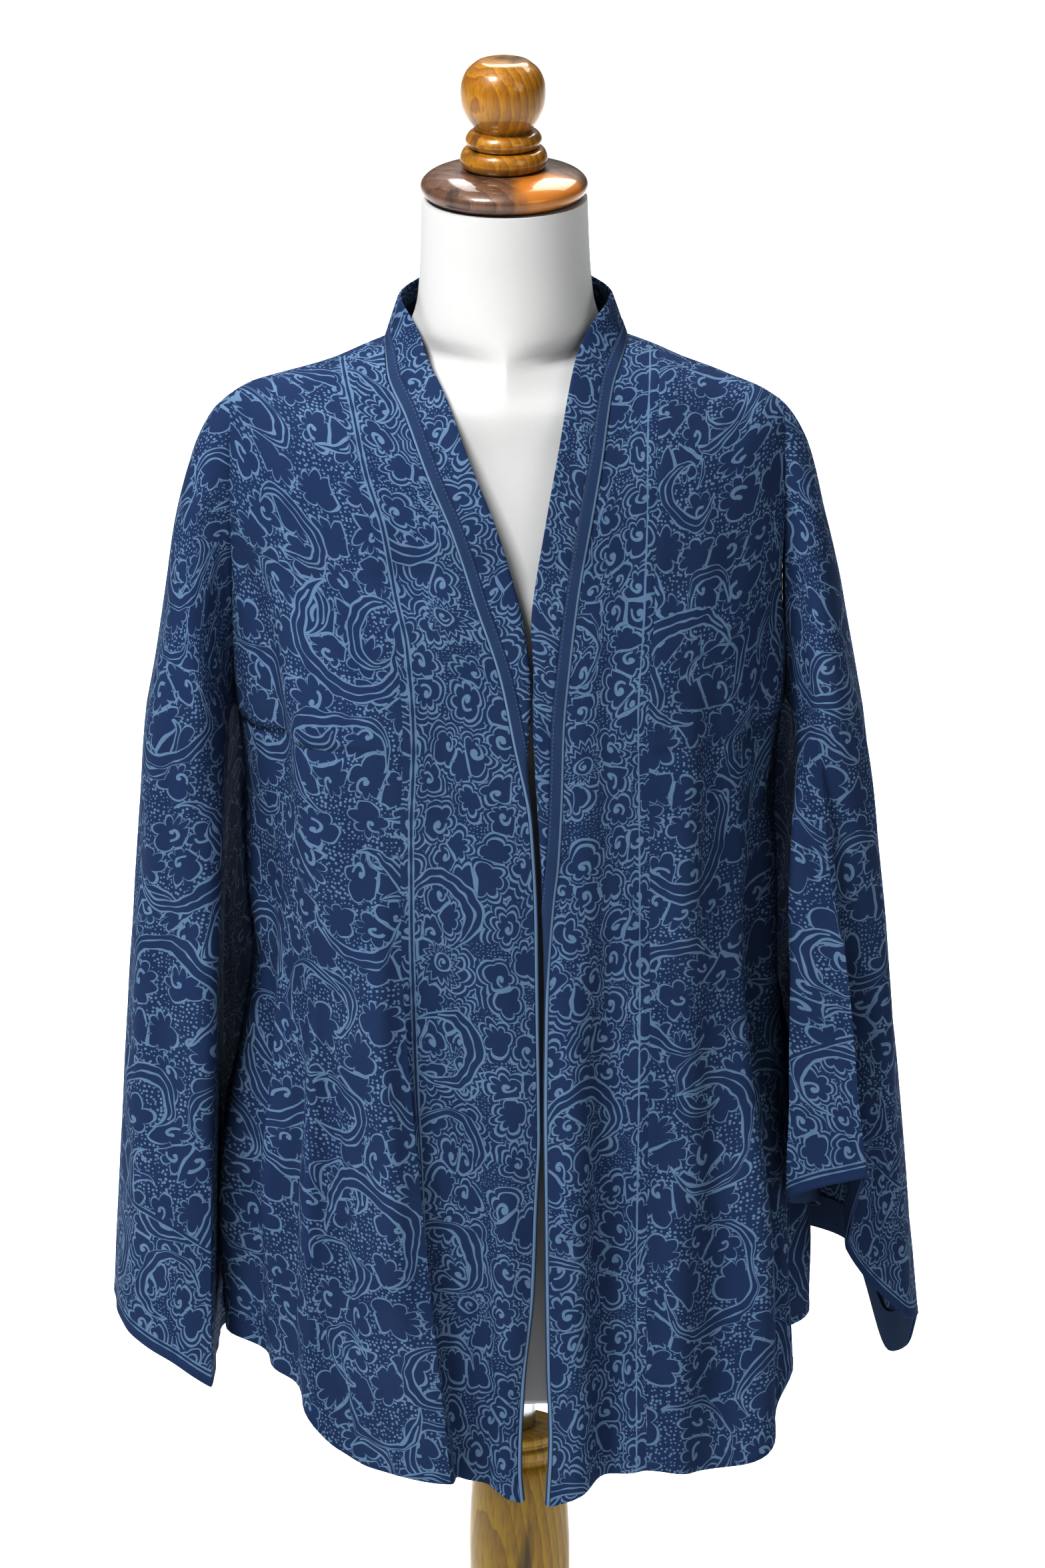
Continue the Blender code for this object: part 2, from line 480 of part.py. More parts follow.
class Band:
    """The trim and collar band: along it from the right hem (-1) over the neck to the left hem (1)."""

    def __init__(self, fronts):
        self.fronts = fronts
        self.rolls = {-1: ROLL_RIGHT, 1: ROLL_LEFT}

    def on_front(self, side, fall, reach):
        front = self.fronts[side]
        base = front.point(0 * fall, fall)
        inward = unit(front.point(-0.02 + 0 * fall, fall) - base)
        below = front.point(0 * fall, np.minimum(fall + 0.004, 1.0))
        above = front.point(0 * fall, np.maximum(fall - 0.004, 0.0))
        outward = unit(side * np.cross(inward, below - above))
        drop = -base[..., 2]
        lean = np.stack(
            [
                -side * smooth(BAND_LEAN["drop"], BAND_LEAN["inward"], drop),
                -smooth(BAND_LEAN["drop"], BAND_LEAN["forward"], drop),
                smooth(BAND_LEAN["drop"], BAND_LEAN["up"], drop),
            ],
            axis=-1,
        )
        lean = unit(lean)
        flat = np.interp(drop, BAND_FLAT, (0, 1))[..., None]
        lean = unit(lean * (1 - flat) + inward * flat)
        back = -unit(outward - lean * (outward * lean).sum(-1, keepdims=True))
        shows = smooth(self.rolls[side]["drop"], self.rolls[side]["shows"], drop)
        seat = BAND_SEAT * (1 - (lean * inward).sum(-1))
        return self.path(base, lean, back, shows, reach + seat)

    def round_neck(self, side, angle, reach):
        """The standing band behind the neck, by the angle from the neck's side in radians."""
        x = side * NECK_OUT * np.cos(angle)
        y = NECK_BACK * np.sin(angle)
        drop = NECK_SIDE_DROP + (NECK_BACK_DROP - NECK_SIDE_DROP) * np.sin(angle)
        base = place_at(x, y, drop)
        lean_in = smooth(NECK_LEAN["angle"], NECK_LEAN["inward"], np.degrees(angle))
        facing = np.stack([side * np.cos(angle) / NECK_OUT, np.sin(angle) / NECK_BACK, 0 * angle], axis=-1)
        facing = unit(facing)
        lean = unit(np.array([0.0, 0.0, 1.0]) - facing * lean_in[..., None])
        back = -unit(facing - lean * (facing * lean).sum(-1, keepdims=True))
        shows = np.full(angle.shape, ROLL_RIGHT["shows"][0])
        return self.path(base, lean, back, shows, reach + BAND_SEAT)

    def path(self, base, lean, back, shows, reach):
        """A place at its reach from the seam: flat as far as the band shows, then rolled under."""
        flat = np.minimum(reach, shows)
        past = np.maximum(reach - shows, 0)
        turned = np.minimum(past / ROLL_RADIUS, ROLL_ANGLE)
        rest = past - turned * ROLL_RADIUS
        ahead = flat + ROLL_RADIUS * np.sin(turned) + rest * np.cos(ROLL_ANGLE)
        behind = ROLL_RADIUS * (1 - np.cos(turned)) + rest * np.sin(ROLL_ANGLE)
        return base + lean * ahead[..., None] + back * behind[..., None]

    def point(self, along, reach):
        along, reach = np.broadcast_arrays(np.asarray(along, float), np.asarray(reach, float))
        places = np.zeros(along.shape + (3,))
        for side in (-1, 1):
            here = along * side >= 0 if side > 0 else along < 0
            far = np.abs(along)
            fall = np.clip((far - NECK_SHARE) / (1 - NECK_SHARE), 0, 1)
            angle = np.clip((NECK_SHARE - far) / NECK_SHARE, 0, 1) * math.pi / 2
            ahead = self.on_front(side, fall, reach)
            behind = self.round_neck(side, angle, reach)
            chosen = np.where((far >= NECK_SHARE)[..., None], ahead, behind)
            places = np.where(here[..., None], chosen, places)
        return places


FRONTS = {
    -1: Front(-1, FRONT_EDGE_RIGHT, PANEL_SEAM_RIGHT, HEM_RIGHT, FOLDS_RIGHT),
    1: Front(1, FRONT_EDGE_LEFT, PANEL_SEAM_LEFT, HEM_LEFT, FOLDS_LEFT),
}
SLEEVES = {-1: Sleeve(-1, OUTER_RIGHT, CUFF_RIGHT), 1: Sleeve(1, OUTER_LEFT, CUFF_LEFT)}
SIDE_NAMES = {-1: "right", 1: "left"}


def normals_of(surface, u, v, step_u, step_v):
    """The surface's normals at every pair of places, from small steps to each side."""
    u, v = np.meshgrid(u, v, indexing="ij")
    across = surface(u + step_u, v) - surface(u - step_u, v)
    down = surface(u, v + step_v) - surface(u, v - step_v)
    return unit(np.cross(across, down))


def flattened(normal, axis):
    """The normals laid into the plane across the axis, for a wall's edge that lies in that plane."""
    flat = normal.copy()
    flat[..., axis] = 0
    return unit(flat)


def material_of(name, finish):
    colour, roughness, metallic = FINISHES[finish]
    made = bpy.data.materials.new(f"{name}_{finish}")
    made.use_nodes = True
    shader = made.node_tree.nodes["Principled BSDF"]
    shader.inputs["Base Color"].default_value = (*colour, 1)
    shader.inputs["Roughness"].default_value = roughness
    shader.inputs["Metallic"].default_value = metallic
    return made


def add_object(name, mesh, finish):
    """Hangs a piece, made round the neck cap's middle, on the empty that stands there."""
    made = bpy.data.objects.new(name, mesh)
    mesh.materials.append(material_of(name, finish))
    bpy.context.scene.collection.objects.link(made)
    made.parent = bpy.data.objects[HOLDER]
    return made


def add_holder():
    holder = bpy.data.objects.new(HOLDER, None)
    holder.location = (0, 0, CAP_HEIGHT)
    bpy.context.scene.collection.objects.link(holder)


def wall(name, places, normals, thick, finish, ring=False):
    """A closed wall round a grid of places, half its thickness to each side of them."""
    rows, columns = places.shape[:2]
    outer = places + normals * thick / 2
    inner = places - normals * thick / 2
    work = bmesh.new()
    skins = [[[work.verts.new(p) for p in line] for line in skin] for skin in (outer, inner)]
    last = rows if ring else rows - 1
    for i in range(last):
        j = (i + 1) % rows
        for k in range(columns - 1):
            top, under = skins
            work.faces.new((top[i][k], top[j][k], top[j][k + 1], top[i][k + 1]))
            work.faces.new((under[i][k + 1], under[j][k + 1], under[j][k], under[i][k]))
    border = [(skins[0][i][k], skins[0][(i + 1) % rows][k], skins[1][(i + 1) % rows][k], skins[1][i][k])
              for k in (0, columns - 1) for i in range(last)]
    if not ring:
        border += [(skins[0][i][k], skins[0][i][k + 1], skins[1][i][k + 1], skins[1][i][k])
                   for i in (0, rows - 1) for k in range(columns - 1)]
    for corners in border:
        work.faces.new(corners)
    bmesh.ops.recalc_face_normals(work, faces=work.faces[:])
    mesh = bpy.data.meshes.new(name)
    work.to_mesh(mesh)
    work.free()
    mesh.shade_smooth()
    mesh.set_sharp_from_angle(angle=math.radians(50))
    return add_object(name, mesh, finish)


def turned(name, profile, finish):
    """A solid turned from a profile that starts and ends on the upright axis."""
    work = bmesh.new()
    line = [(0.0, profile[0][1]), *profile, (0.0, profile[-1][1])]
    verts = [work.verts.new((radius, 0.0, height)) for radius, height in line]
    edges = [work.edges.new(pair) for pair in zip(verts, verts[1:])]
    bmesh.ops.spin(work, geom=verts + edges, axis=(0, 0, 1), cent=(0, 0, 0), angle=2 * math.pi,
                   steps=TURNED_STEPS[name], use_merge=True)
    bmesh.ops.remove_doubles(work, verts=work.verts[:], dist=1e-6)
    bmesh.ops.recalc_face_normals(work, faces=work.faces[:])
    mesh = bpy.data.meshes.new(name)
    work.to_mesh(mesh)
    work.free()
    mesh.shade_smooth()
    mesh.set_sharp_from_angle(angle=math.radians(40))
    return add_object(name, mesh, finish)


def panel_rows():
    """Places down a front or the back, with one of them at the underarm."""
    down = np.linspace(0, 1, SKIRT_ROWS + 1) ** SKIRT_SPREAD
    rows = [
        np.linspace(0, SHOULDER_SHARE, CAP_ROWS, endpoint=False),
        np.linspace(SHOULDER_SHARE, UNDERARM_SHARE, CHEST_ROWS, endpoint=False),
        UNDERARM_SHARE + (1 - UNDERARM_SHARE) * down,
    ]
    return np.concatenate(rows)


def seat_side_edge(places, normals, side, column, facing):
    """Lays the panel's side edge into the armhole's plane and, below it, the side seam's."""
    underarm = CAP_ROWS + CHEST_ROWS
    places[column, :underarm, 0] = side * (ARMHOLE_OUT - SEAM_GAP / 2)
    normals[column, :underarm] = flattened(normals[column, :underarm], 0)
    places[column, underarm, 0] = side * (ARMHOLE_OUT - UNDERARM_IN)
    places[column, underarm:, 1] = facing * SEAM_GAP / 2
    normals[column, underarm:] = flattened(normals[column, underarm:], 1)


def make_front_panel(name, side, columns, outer):
    front = FRONTS[side]
    rows = panel_rows()
    grid = np.meshgrid(columns, rows, indexing="ij")
    places = front.point(*grid)
    inside = np.clip(columns, 0.001, 1.995)
    normals = -side * normals_of(front.point, inside, np.clip(rows, 0.004, 0.998), 0.001, 0.002)
    places[:, 0, 1] = -SEAM_GAP / 2
    normals[:, 0] = flattened(normals[:, 0], 1)
    if outer:
        seat_side_edge(places, normals, side, -1, -1)
    return wall(name, places, normals, CLOTH, "printed_cotton")


def make_back():
    back = Back()
    rows = panel_rows()
    neck = math.asin(NECK_OUT / ARMHOLE_OUT) / (math.pi / 2)
    columns = np.concatenate([
        np.linspace(-1, -neck, BACK_COLUMNS[0], endpoint=False),
        np.linspace(-neck, neck, BACK_COLUMNS[1], endpoint=False),
        np.linspace(neck, 1, BACK_COLUMNS[2]),
    ])
    places = back.point(*np.meshgrid(columns, rows, indexing="ij"))
    inside = np.clip(columns, -0.995, 0.995)
    normals = -normals_of(back.point, inside, np.clip(rows, 0.004, 0.998), 0.001, 0.002)
    on_shoulder = np.abs(columns) >= neck - TINY
    places[on_shoulder, 0, 1] = SEAM_GAP / 2
    normals[on_shoulder, 0] = flattened(normals[on_shoulder, 0], 1)
    seat_side_edge(places, normals, -1, 0, 1)
    seat_side_edge(places, normals, 1, -1, 1)
    return wall("back", places, normals, CLOTH, "printed_cotton")


def sleeve_rows():
    return np.concatenate([
        np.linspace(0, ELBOW_SHARE, ELBOW_ROWS, endpoint=False),
        np.linspace(ELBOW_SHARE, 1, SLEEVE_ROWS + 1),
    ])


def make_sleeve(side):
    sleeve = SLEEVES[side]
    around = sleeve.columns()
    rows = sleeve_rows()
    places = sleeve.point(*np.meshgrid(around, rows, indexing="ij"))
    normals = side * normals_of(sleeve.point, around, np.clip(rows, 0.004, 0.998), 0.5, 0.002)
    places[:, 0, 0] = side * (ARMHOLE_OUT + SEAM_GAP / 2)
    normals[:, 0] = flattened(normals[:, 0], 0)
    return wall(f"sleeve_{SIDE_NAMES[side]}", places, normals, CLOTH, "printed_cotton", ring=True)


def make_cuff_facing(side):
    """The plain strip inside the cuff, moved in from the sleeve's own points."""
    sleeve = SLEEVES[side]
    around = sleeve.columns()
    rows = np.append(sleeve_rows()[-2], 1 - TINY)
    places = sleeve.point(*np.meshgrid(around, rows, indexing="ij"))
    normals = side * normals_of(sleeve.point, around, rows - TINY, 0.5, 0.002)
    run = np.linalg.norm(places[:, :1] - places[:, 1:], axis=-1, keepdims=True)
    upper = FACING_HEIGHT / run
    places[:, :1] = places[:, 1:] * (1 - upper) + places[:, :1] * upper
    normals[:, :1] = unit(normals[:, 1:] * (1 - upper) + normals[:, :1] * upper)
    places = places - normals * (CLOTH / 2 + FACING_GAP + FACING_CLOTH / 2)
    return wall(f"cuff_facing_{SIDE_NAMES[side]}", places, normals, FACING_CLOTH, "plain_cotton", ring=True)


def make_band(name, start, end, steps, thick, finish):
    band = Band(FRONTS)
    far = NECK_SHARE + (1 - NECK_SHARE) * panel_rows()
    behind = np.linspace(-NECK_SHARE, NECK_SHARE, NECK_STEPS + 1)[1:-1]
    along = np.concatenate([-far[::-1], behind, far])
    reach = np.linspace(start, end, steps + 1)
    places = band.point(*np.meshgrid(along, reach, indexing="ij"))
    inside = np.clip(along, -0.998, 0.998)
    normals = normals_of(band.point, inside, reach, 0.001, 0.0002)
    return wall(name, places, normals, thick, finish)


def make_torso():
    under = [float(shoulder_drop(1, wide)) + TORSO_CLEAR for wide in TORSO_SHOULDER["wide"]]
    parts = (TORSO_NECK, {"drop": under, **TORSO_SHOULDER}, TORSO_BODY)
    names = ("drop", "wide", "front", "back", "square")
    work = bmesh.new()
    angles = np.linspace(0, 2 * math.pi, TORSO_ROUND, endpoint=False)
    rings = []
    for drop, wide, front, back, square in zip(*[sum((tuple(part[n]) for part in parts), ()) for n in names]):
        x = wide * np.sign(np.cos(angles)) * np.abs(np.cos(angles)) ** (2 / square)
        y = np.sign(np.sin(angles)) * np.abs(np.sin(angles)) ** (2 / square)
        y = np.where(y < 0, y * front, y * back)
        rings.append([work.verts.new((*place, -drop)) for place in zip(x, y)])
    for upper, lower in zip(rings, rings[1:]):
        for i in range(TORSO_ROUND):
            j = (i + 1) % TORSO_ROUND
            work.faces.new((upper[i], lower[i], lower[j], upper[j]))
    work.faces.new(rings[0])
    work.faces.new(rings[-1][::-1])
    bmesh.ops.recalc_face_normals(work, faces=work.faces[:])
    mesh = bpy.data.meshes.new("torso")
    work.to_mesh(mesh)
    work.free()
    mesh.shade_smooth()
    mesh.set_sharp_from_angle(angle=math.radians(40))
    return add_object("torso", mesh, "jersey")


def clear_scene():
    for old in list(bpy.data.objects):
        bpy.data.objects.remove(old)


def main():
    clear_scene()
    add_holder()
    turned("finial", FINIAL, "varnished_wood")
    turned("neck_cap", NECK_CAP, "varnished_wood")
    make_torso()
    turned("rod", ((ROD_RADIUS, ROD_TOP), (ROD_RADIUS, ROD_FOOT)), "steel")
    turned("column", COLUMN, "varnished_wood")
    turned("base", BASE, "varnished_wood")
    gap = SEAM_GAP / 2 / CENTRE_WIDTH
    for side in (-1, 1):
        centre = np.linspace(0, 1 - gap, CENTRE_COLUMNS)
        outer = np.linspace(1 + gap, 2, SIDE_COLUMNS)
        make_front_panel(f"front_centre_{SIDE_NAMES[side]}", side, centre, False)
        make_front_panel(f"front_side_{SIDE_NAMES[side]}", side, outer, True)
        make_sleeve(side)
    make_back()
    make_cuff_facing(1)
    make_band("collar_trim", SEAM_GAP, TRIM_WIDTH, TRIM_STEPS, CLOTH, "plain_cotton")
    make_band("collar", TRIM_WIDTH + SEAM_GAP, BAND_END, BAND_STEPS, BAND_CLOTH, "printed_cotton")


main()
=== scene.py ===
"""The looks of a batik kimono jacket worn by a limbless dress form on a turned wooden stand.

Metres, +Z up, +X towards the wearer's left, the fronts facing -Y. The jacket and its form are laid
out from the middle of the wooden neck cap, so heights on them are given as drops below it.
"""

import logging
import math
from dataclasses import dataclass, replace
from enum import Enum
from typing import Callable, Optional, Sequence, Union

import bmesh
import bpy
import numpy as np
from mathutils import Matrix


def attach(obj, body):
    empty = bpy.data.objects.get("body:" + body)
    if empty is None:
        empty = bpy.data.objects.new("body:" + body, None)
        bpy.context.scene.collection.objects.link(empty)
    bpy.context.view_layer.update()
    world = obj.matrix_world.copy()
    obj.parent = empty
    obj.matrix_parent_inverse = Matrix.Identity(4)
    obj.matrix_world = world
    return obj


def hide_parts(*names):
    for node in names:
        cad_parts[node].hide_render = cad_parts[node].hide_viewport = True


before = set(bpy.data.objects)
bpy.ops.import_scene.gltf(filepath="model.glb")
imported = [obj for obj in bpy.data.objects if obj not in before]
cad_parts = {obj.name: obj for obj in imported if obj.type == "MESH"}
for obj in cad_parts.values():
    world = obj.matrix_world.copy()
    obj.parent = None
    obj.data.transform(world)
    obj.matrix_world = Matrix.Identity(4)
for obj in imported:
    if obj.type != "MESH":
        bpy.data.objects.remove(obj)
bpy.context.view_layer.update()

LOG = logging.getLogger("kimono_jacket")
Array = np.ndarray
Places = Union[float, Array]
Piece = bpy.types.Object
Material = bpy.types.Material
Tree = bpy.types.NodeTree
Socket = bpy.types.NodeSocket
Inputs = dict[Union[int, str], object]
Number = Union["Term", float]

CAP_HEIGHT = 1.25  # the neck cap's middle above the floor
CLOTH = 0.0012  # the usual thickness
BAND_CLOTH = 0.0022  # the folded layers of the collar band
TRIM_CLOTH = 0.0015  # those of the trim
SEAM_GAP = 0.0003  # left open between sewn pieces, so that they don't cut into each other
PANEL_GAP = 0.00006  # the same between the two panels of a front, which lie in one surface
RUMPLE = 0.0007  # the usual height of small unevenness
TINY = 1e-4
FULL_TURN = 2 * math.pi
SIDE_NAMES = {-1: "right", 1: "left"}


# Lines through short tables


@dataclass(frozen=True)
class Line:
    """A smooth line through a short table of places and the values there."""

    places: tuple[float, ...]
    values: tuple[float, ...]

    def at(self, where: Places) -> Array:
        """Reads the line, which never swings past a step between two values.

        Args:
            where: Places to read it at, held to the table's ends.

        Returns:
            The values there.
        """
        places = np.asarray(self.places, float)
        values = np.asarray(self.values, float)
        where = np.clip(np.asarray(where, float), places[0], places[-1])
        run = np.diff(places)
        slope = np.diff(values) / run
        ends = np.concatenate([[slope[0]], np.zeros(len(slope) - 1), [slope[-1]]])
        same = slope[:-1] * slope[1:] > 0
        mean = 2 * slope[:-1] * slope[1:] / np.where(same, slope[:-1] + slope[1:], 1.0)
        ends[1:-1] = np.where(same, mean, 0.0)
        i = np.clip(np.searchsorted(places, where, side="right") - 1, 0, len(run) - 1)
        t = (where - places[i]) / run[i]
        hold = (1 + 2 * t) * (1 - t) ** 2 * values[i] + t**2 * (3 - 2 * t) * values[i + 1]
        return hold + run[i] * (t * (1 - t) ** 2 * ends[i] - t**2 * (1 - t) * ends[i + 1])

    def round_at(self, degrees: Places) -> Array:
        """Reads a line that closes on itself after a full turn.

        Args:
            degrees: Angles to read it at.

        Returns:
            The values there.
        """
        places = np.asarray(self.places, float)
        thrice = Line(tuple(np.concatenate([places - 360, places, places + 360])), self.values * 3)
        return thrice.at(np.mod(degrees, 360.0))


def unit(v: Array) -> Array:
    """Scales vectors to a length of one."""
    return v / np.maximum(np.linalg.norm(v, axis=-1, keepdims=True), 1e-12)


def place_at(x: Places, y: Places, drop: Places) -> Array:
    """Stacks an x, a y and a drop below the neck cap's middle into world places."""
    x, y, drop = np.broadcast_arrays(x, y, drop)
    return np.stack([x, y, CAP_HEIGHT - drop], axis=-1)


def nearest(values: Array, wanted: float) -> int:
    """Gives the index of the value nearest to a wanted one."""
    return int(np.argmin(np.abs(values - wanted)))


def matched(*places: Places) -> Sequence[Array]:
    """Gives places as arrays of one common shape."""
    return np.broadcast_arrays(*(np.asarray(p, float) for p in places))


def ease(t: Places) -> Array:
    """Rises smoothly from 0 at 0 to 1 at 1."""
    t = np.clip(t, 0, 1)
    return t * t * (3 - 2 * t)


# The figure that the fronts and the back share


LEVELS = (0.240, 0.300, 0.370, 0.450, 0.530, 0.600, 0.680, 0.750, 0.830, 0.920)
SHOULDER_OUTS = (0.083, 0.100, 0.120, 0.140, 0.155, 0.175, 0.190)


@dataclass(frozen=True)
class Figure:
    """How the jacket stands round its form: shoulders, armholes, widths and depths at each drop."""

    neck_out: float = 0.083
    neck_back: float = 0.0665
    neck_side_drop: float = 0.1105
    neck_back_drop: float = 0.103
    armhole_out: float = 0.190
    armhole_half_depth: float = 0.032
    underarm: float = 0.370
    chest_drop: float = 0.240
    shoulder_share: float = 0.20
    underarm_share: float = 0.35
    squareness: float = 2.4
    rounding: Line = Line((0.26, 0.38), (0.80, 0.50))
    hem_back_drop: float = 0.846
    right_shoulder: Line = Line(SHOULDER_OUTS, (0.1105, 0.1168, 0.1255, 0.1310, 0.1345, 0.1400, 0.1480))
    left_shoulder: Line = Line(SHOULDER_OUTS, (0.1105, 0.1172, 0.1260, 0.1338, 0.1398, 0.1482, 0.1580))
    side: Line = Line(LEVELS, (0.190, 0.190, 0.188, 0.182, 0.180, 0.189, 0.204, 0.2075, 0.2065, 0.200))
    front: Line = Line(LEVELS, (0.112, 0.124, 0.130, 0.132, 0.133, 0.134, 0.135, 0.135, 0.136, 0.136))
    back: Line = Line(LEVELS, (0.098, 0.103, 0.106, 0.108, 0.111, 0.114, 0.118, 0.122, 0.126, 0.128))

    def shoulder_drop(self, side: Places, out: Places) -> Array:
        """Gives the shoulder seam's drop at a distance out, right (side below 0) or left."""
        return np.where(np.asarray(side) < 0, self.right_shoulder.at(out), self.left_shoulder.at(out))

    def armhole_middle(self, side: Places) -> tuple[Array, Array]:
        """Gives the drop of the armhole's middle, and half its height."""
        top = self.shoulder_drop(side, self.armhole_out)
        return (top + self.underarm) / 2, (self.underarm - top) / 2

    def depth_at(self, x: Places, drop: Places, deep: Places, wide: Places, side: Places) -> Array:
        """Gives how far the jacket stands from the centre plane at x.

        Args:
            x: Distances out from the centre line.
            drop: Drops there.
            deep: The depth at the centre line.
            wide: Half the width at the side.
            side: Below 0 on the wearer's right.

        Returns:
            Depths from the plane of the side seams.
        """
        mid, half = self.armhole_middle(side)
        low = np.clip((drop - mid) / half, 0, 1)
        arm = self.armhole_half_depth * np.sqrt(1 - low**2)
        share = np.clip(np.abs(x) / wide, 0, 1)
        root = np.interp(drop, self.rounding.places, self.rounding.values)
        return arm + (deep - arm) * (1 - share**self.squareness) ** root

    def side_hem(self, side: Places) -> Array:
        """Gives the hem's drop at the right (side below 0) or the left side seam."""
        return np.where(np.asarray(side) < 0, 0.806, 0.826)

    def drop_down(self, fall: Places, low: Places, hem: Places) -> Array:
        """Gives the drop below the chest: first to the underarm's level, then on to the hem."""
        chest = np.clip((fall - self.shoulder_share) / (self.underarm_share - self.shoulder_share), 0, 1)
        skirt = np.clip((fall - self.underarm_share) / (1 - self.underarm_share), 0, 1.02)
        return low + (self.underarm - low) * chest + (hem - self.underarm) * skirt

    def side_line(self, drop: Places) -> Array:
        """Gives half the jacket's width: the armhole's plane, then the side seam below it."""
        return np.where(drop < self.underarm - TINY, self.armhole_out, self.side.at(drop))


FIGURE = Figure()


@dataclass(frozen=True)
class Fold:
    """A soft fold that grows down a panel, given as the panel's own places across it.

    It runs from its place at the top to its place at the hem, begins at a share of the fall and
    rises in metres towards the hem: fast at first with a growth below 1, late with one above 1. A
    rise below 0 is a valley. The lean slides the cloth sideways along the ridge.
    """

    top: float
    hem: float
    start: float
    width: float
    rise: float
    lean: float = 0.0
    growth: float = 1.3

    def shift(self, across: Array, fall: Array) -> tuple[Array, Array]:
        """Gives how far the fold lifts the cloth outwards and slides it along.

        Args:
            across: Places across the panel.
            fall: Places down it, from 0 at the top to 1 at the hem.

        Returns:
            The lift and the slide in metres. The cloth for a ridge is drawn from a shallow
            trough at both its sides.
        """
        grown = np.clip((fall - self.start) / (1 - self.start), 0, 1) ** self.growth
        place = self.top + (self.hem - self.top) * fall
        ridge = np.exp(-(((across - place) / self.width) ** 2))
        trough = np.exp(-(((across - place) / (2.2 * self.width)) ** 2))
        return grown * self.rise * (1.35 * ridge - 0.55 * trough), grown * self.lean * ridge


@dataclass(frozen=True)
class Crease:
    """A soft crease between two places of a panel, given as its own places across and down.

    A rise below 0 is a trough. The bow is how far its middle swings sideways, and a lopsided
    crease is that many times wider on one side.
    """

    start: tuple[float, float]
    end: tuple[float, float]
    width: float
    rise: float
    bow: float = 0.0
    lopsided: float = 1.6

    def lift(self, flat: Array, ends: tuple[Array, Array]) -> Array:
        """Gives how far the crease lifts the cloth.

        Args:
            flat: The cloth's places laid flat, in metres.
            ends: The crease's two ends laid flat.

        Returns:
            The lift at each place, in metres.
        """
        run = ends[1] - ends[0]
        length = max(float(np.hypot(*run)), 1e-6)
        along = run / length
        t = (flat - ends[0]) @ along / length
        off = (flat - ends[0]) @ np.array([-along[1], along[0]])
        off = off - self.bow * 4 * np.clip(t, 0, 1) * (1 - np.clip(t, 0, 1))
        wide = self.width * np.where(off < 0, 1.0, self.lopsided)
        return self.rise * ease(t / 0.35) * ease((1 - t) / 0.35) * np.exp(-((off / wide) ** 2))


def crease_rows(*rows: tuple[float, ...]) -> tuple[Crease, ...]:
    """Makes creases from rows of a start, an end, a width, a rise and, if need be, the rest."""
    return tuple(Crease(row[:2], row[2:4], *row[4:]) for row in rows)


# Cloth made from a form's own places


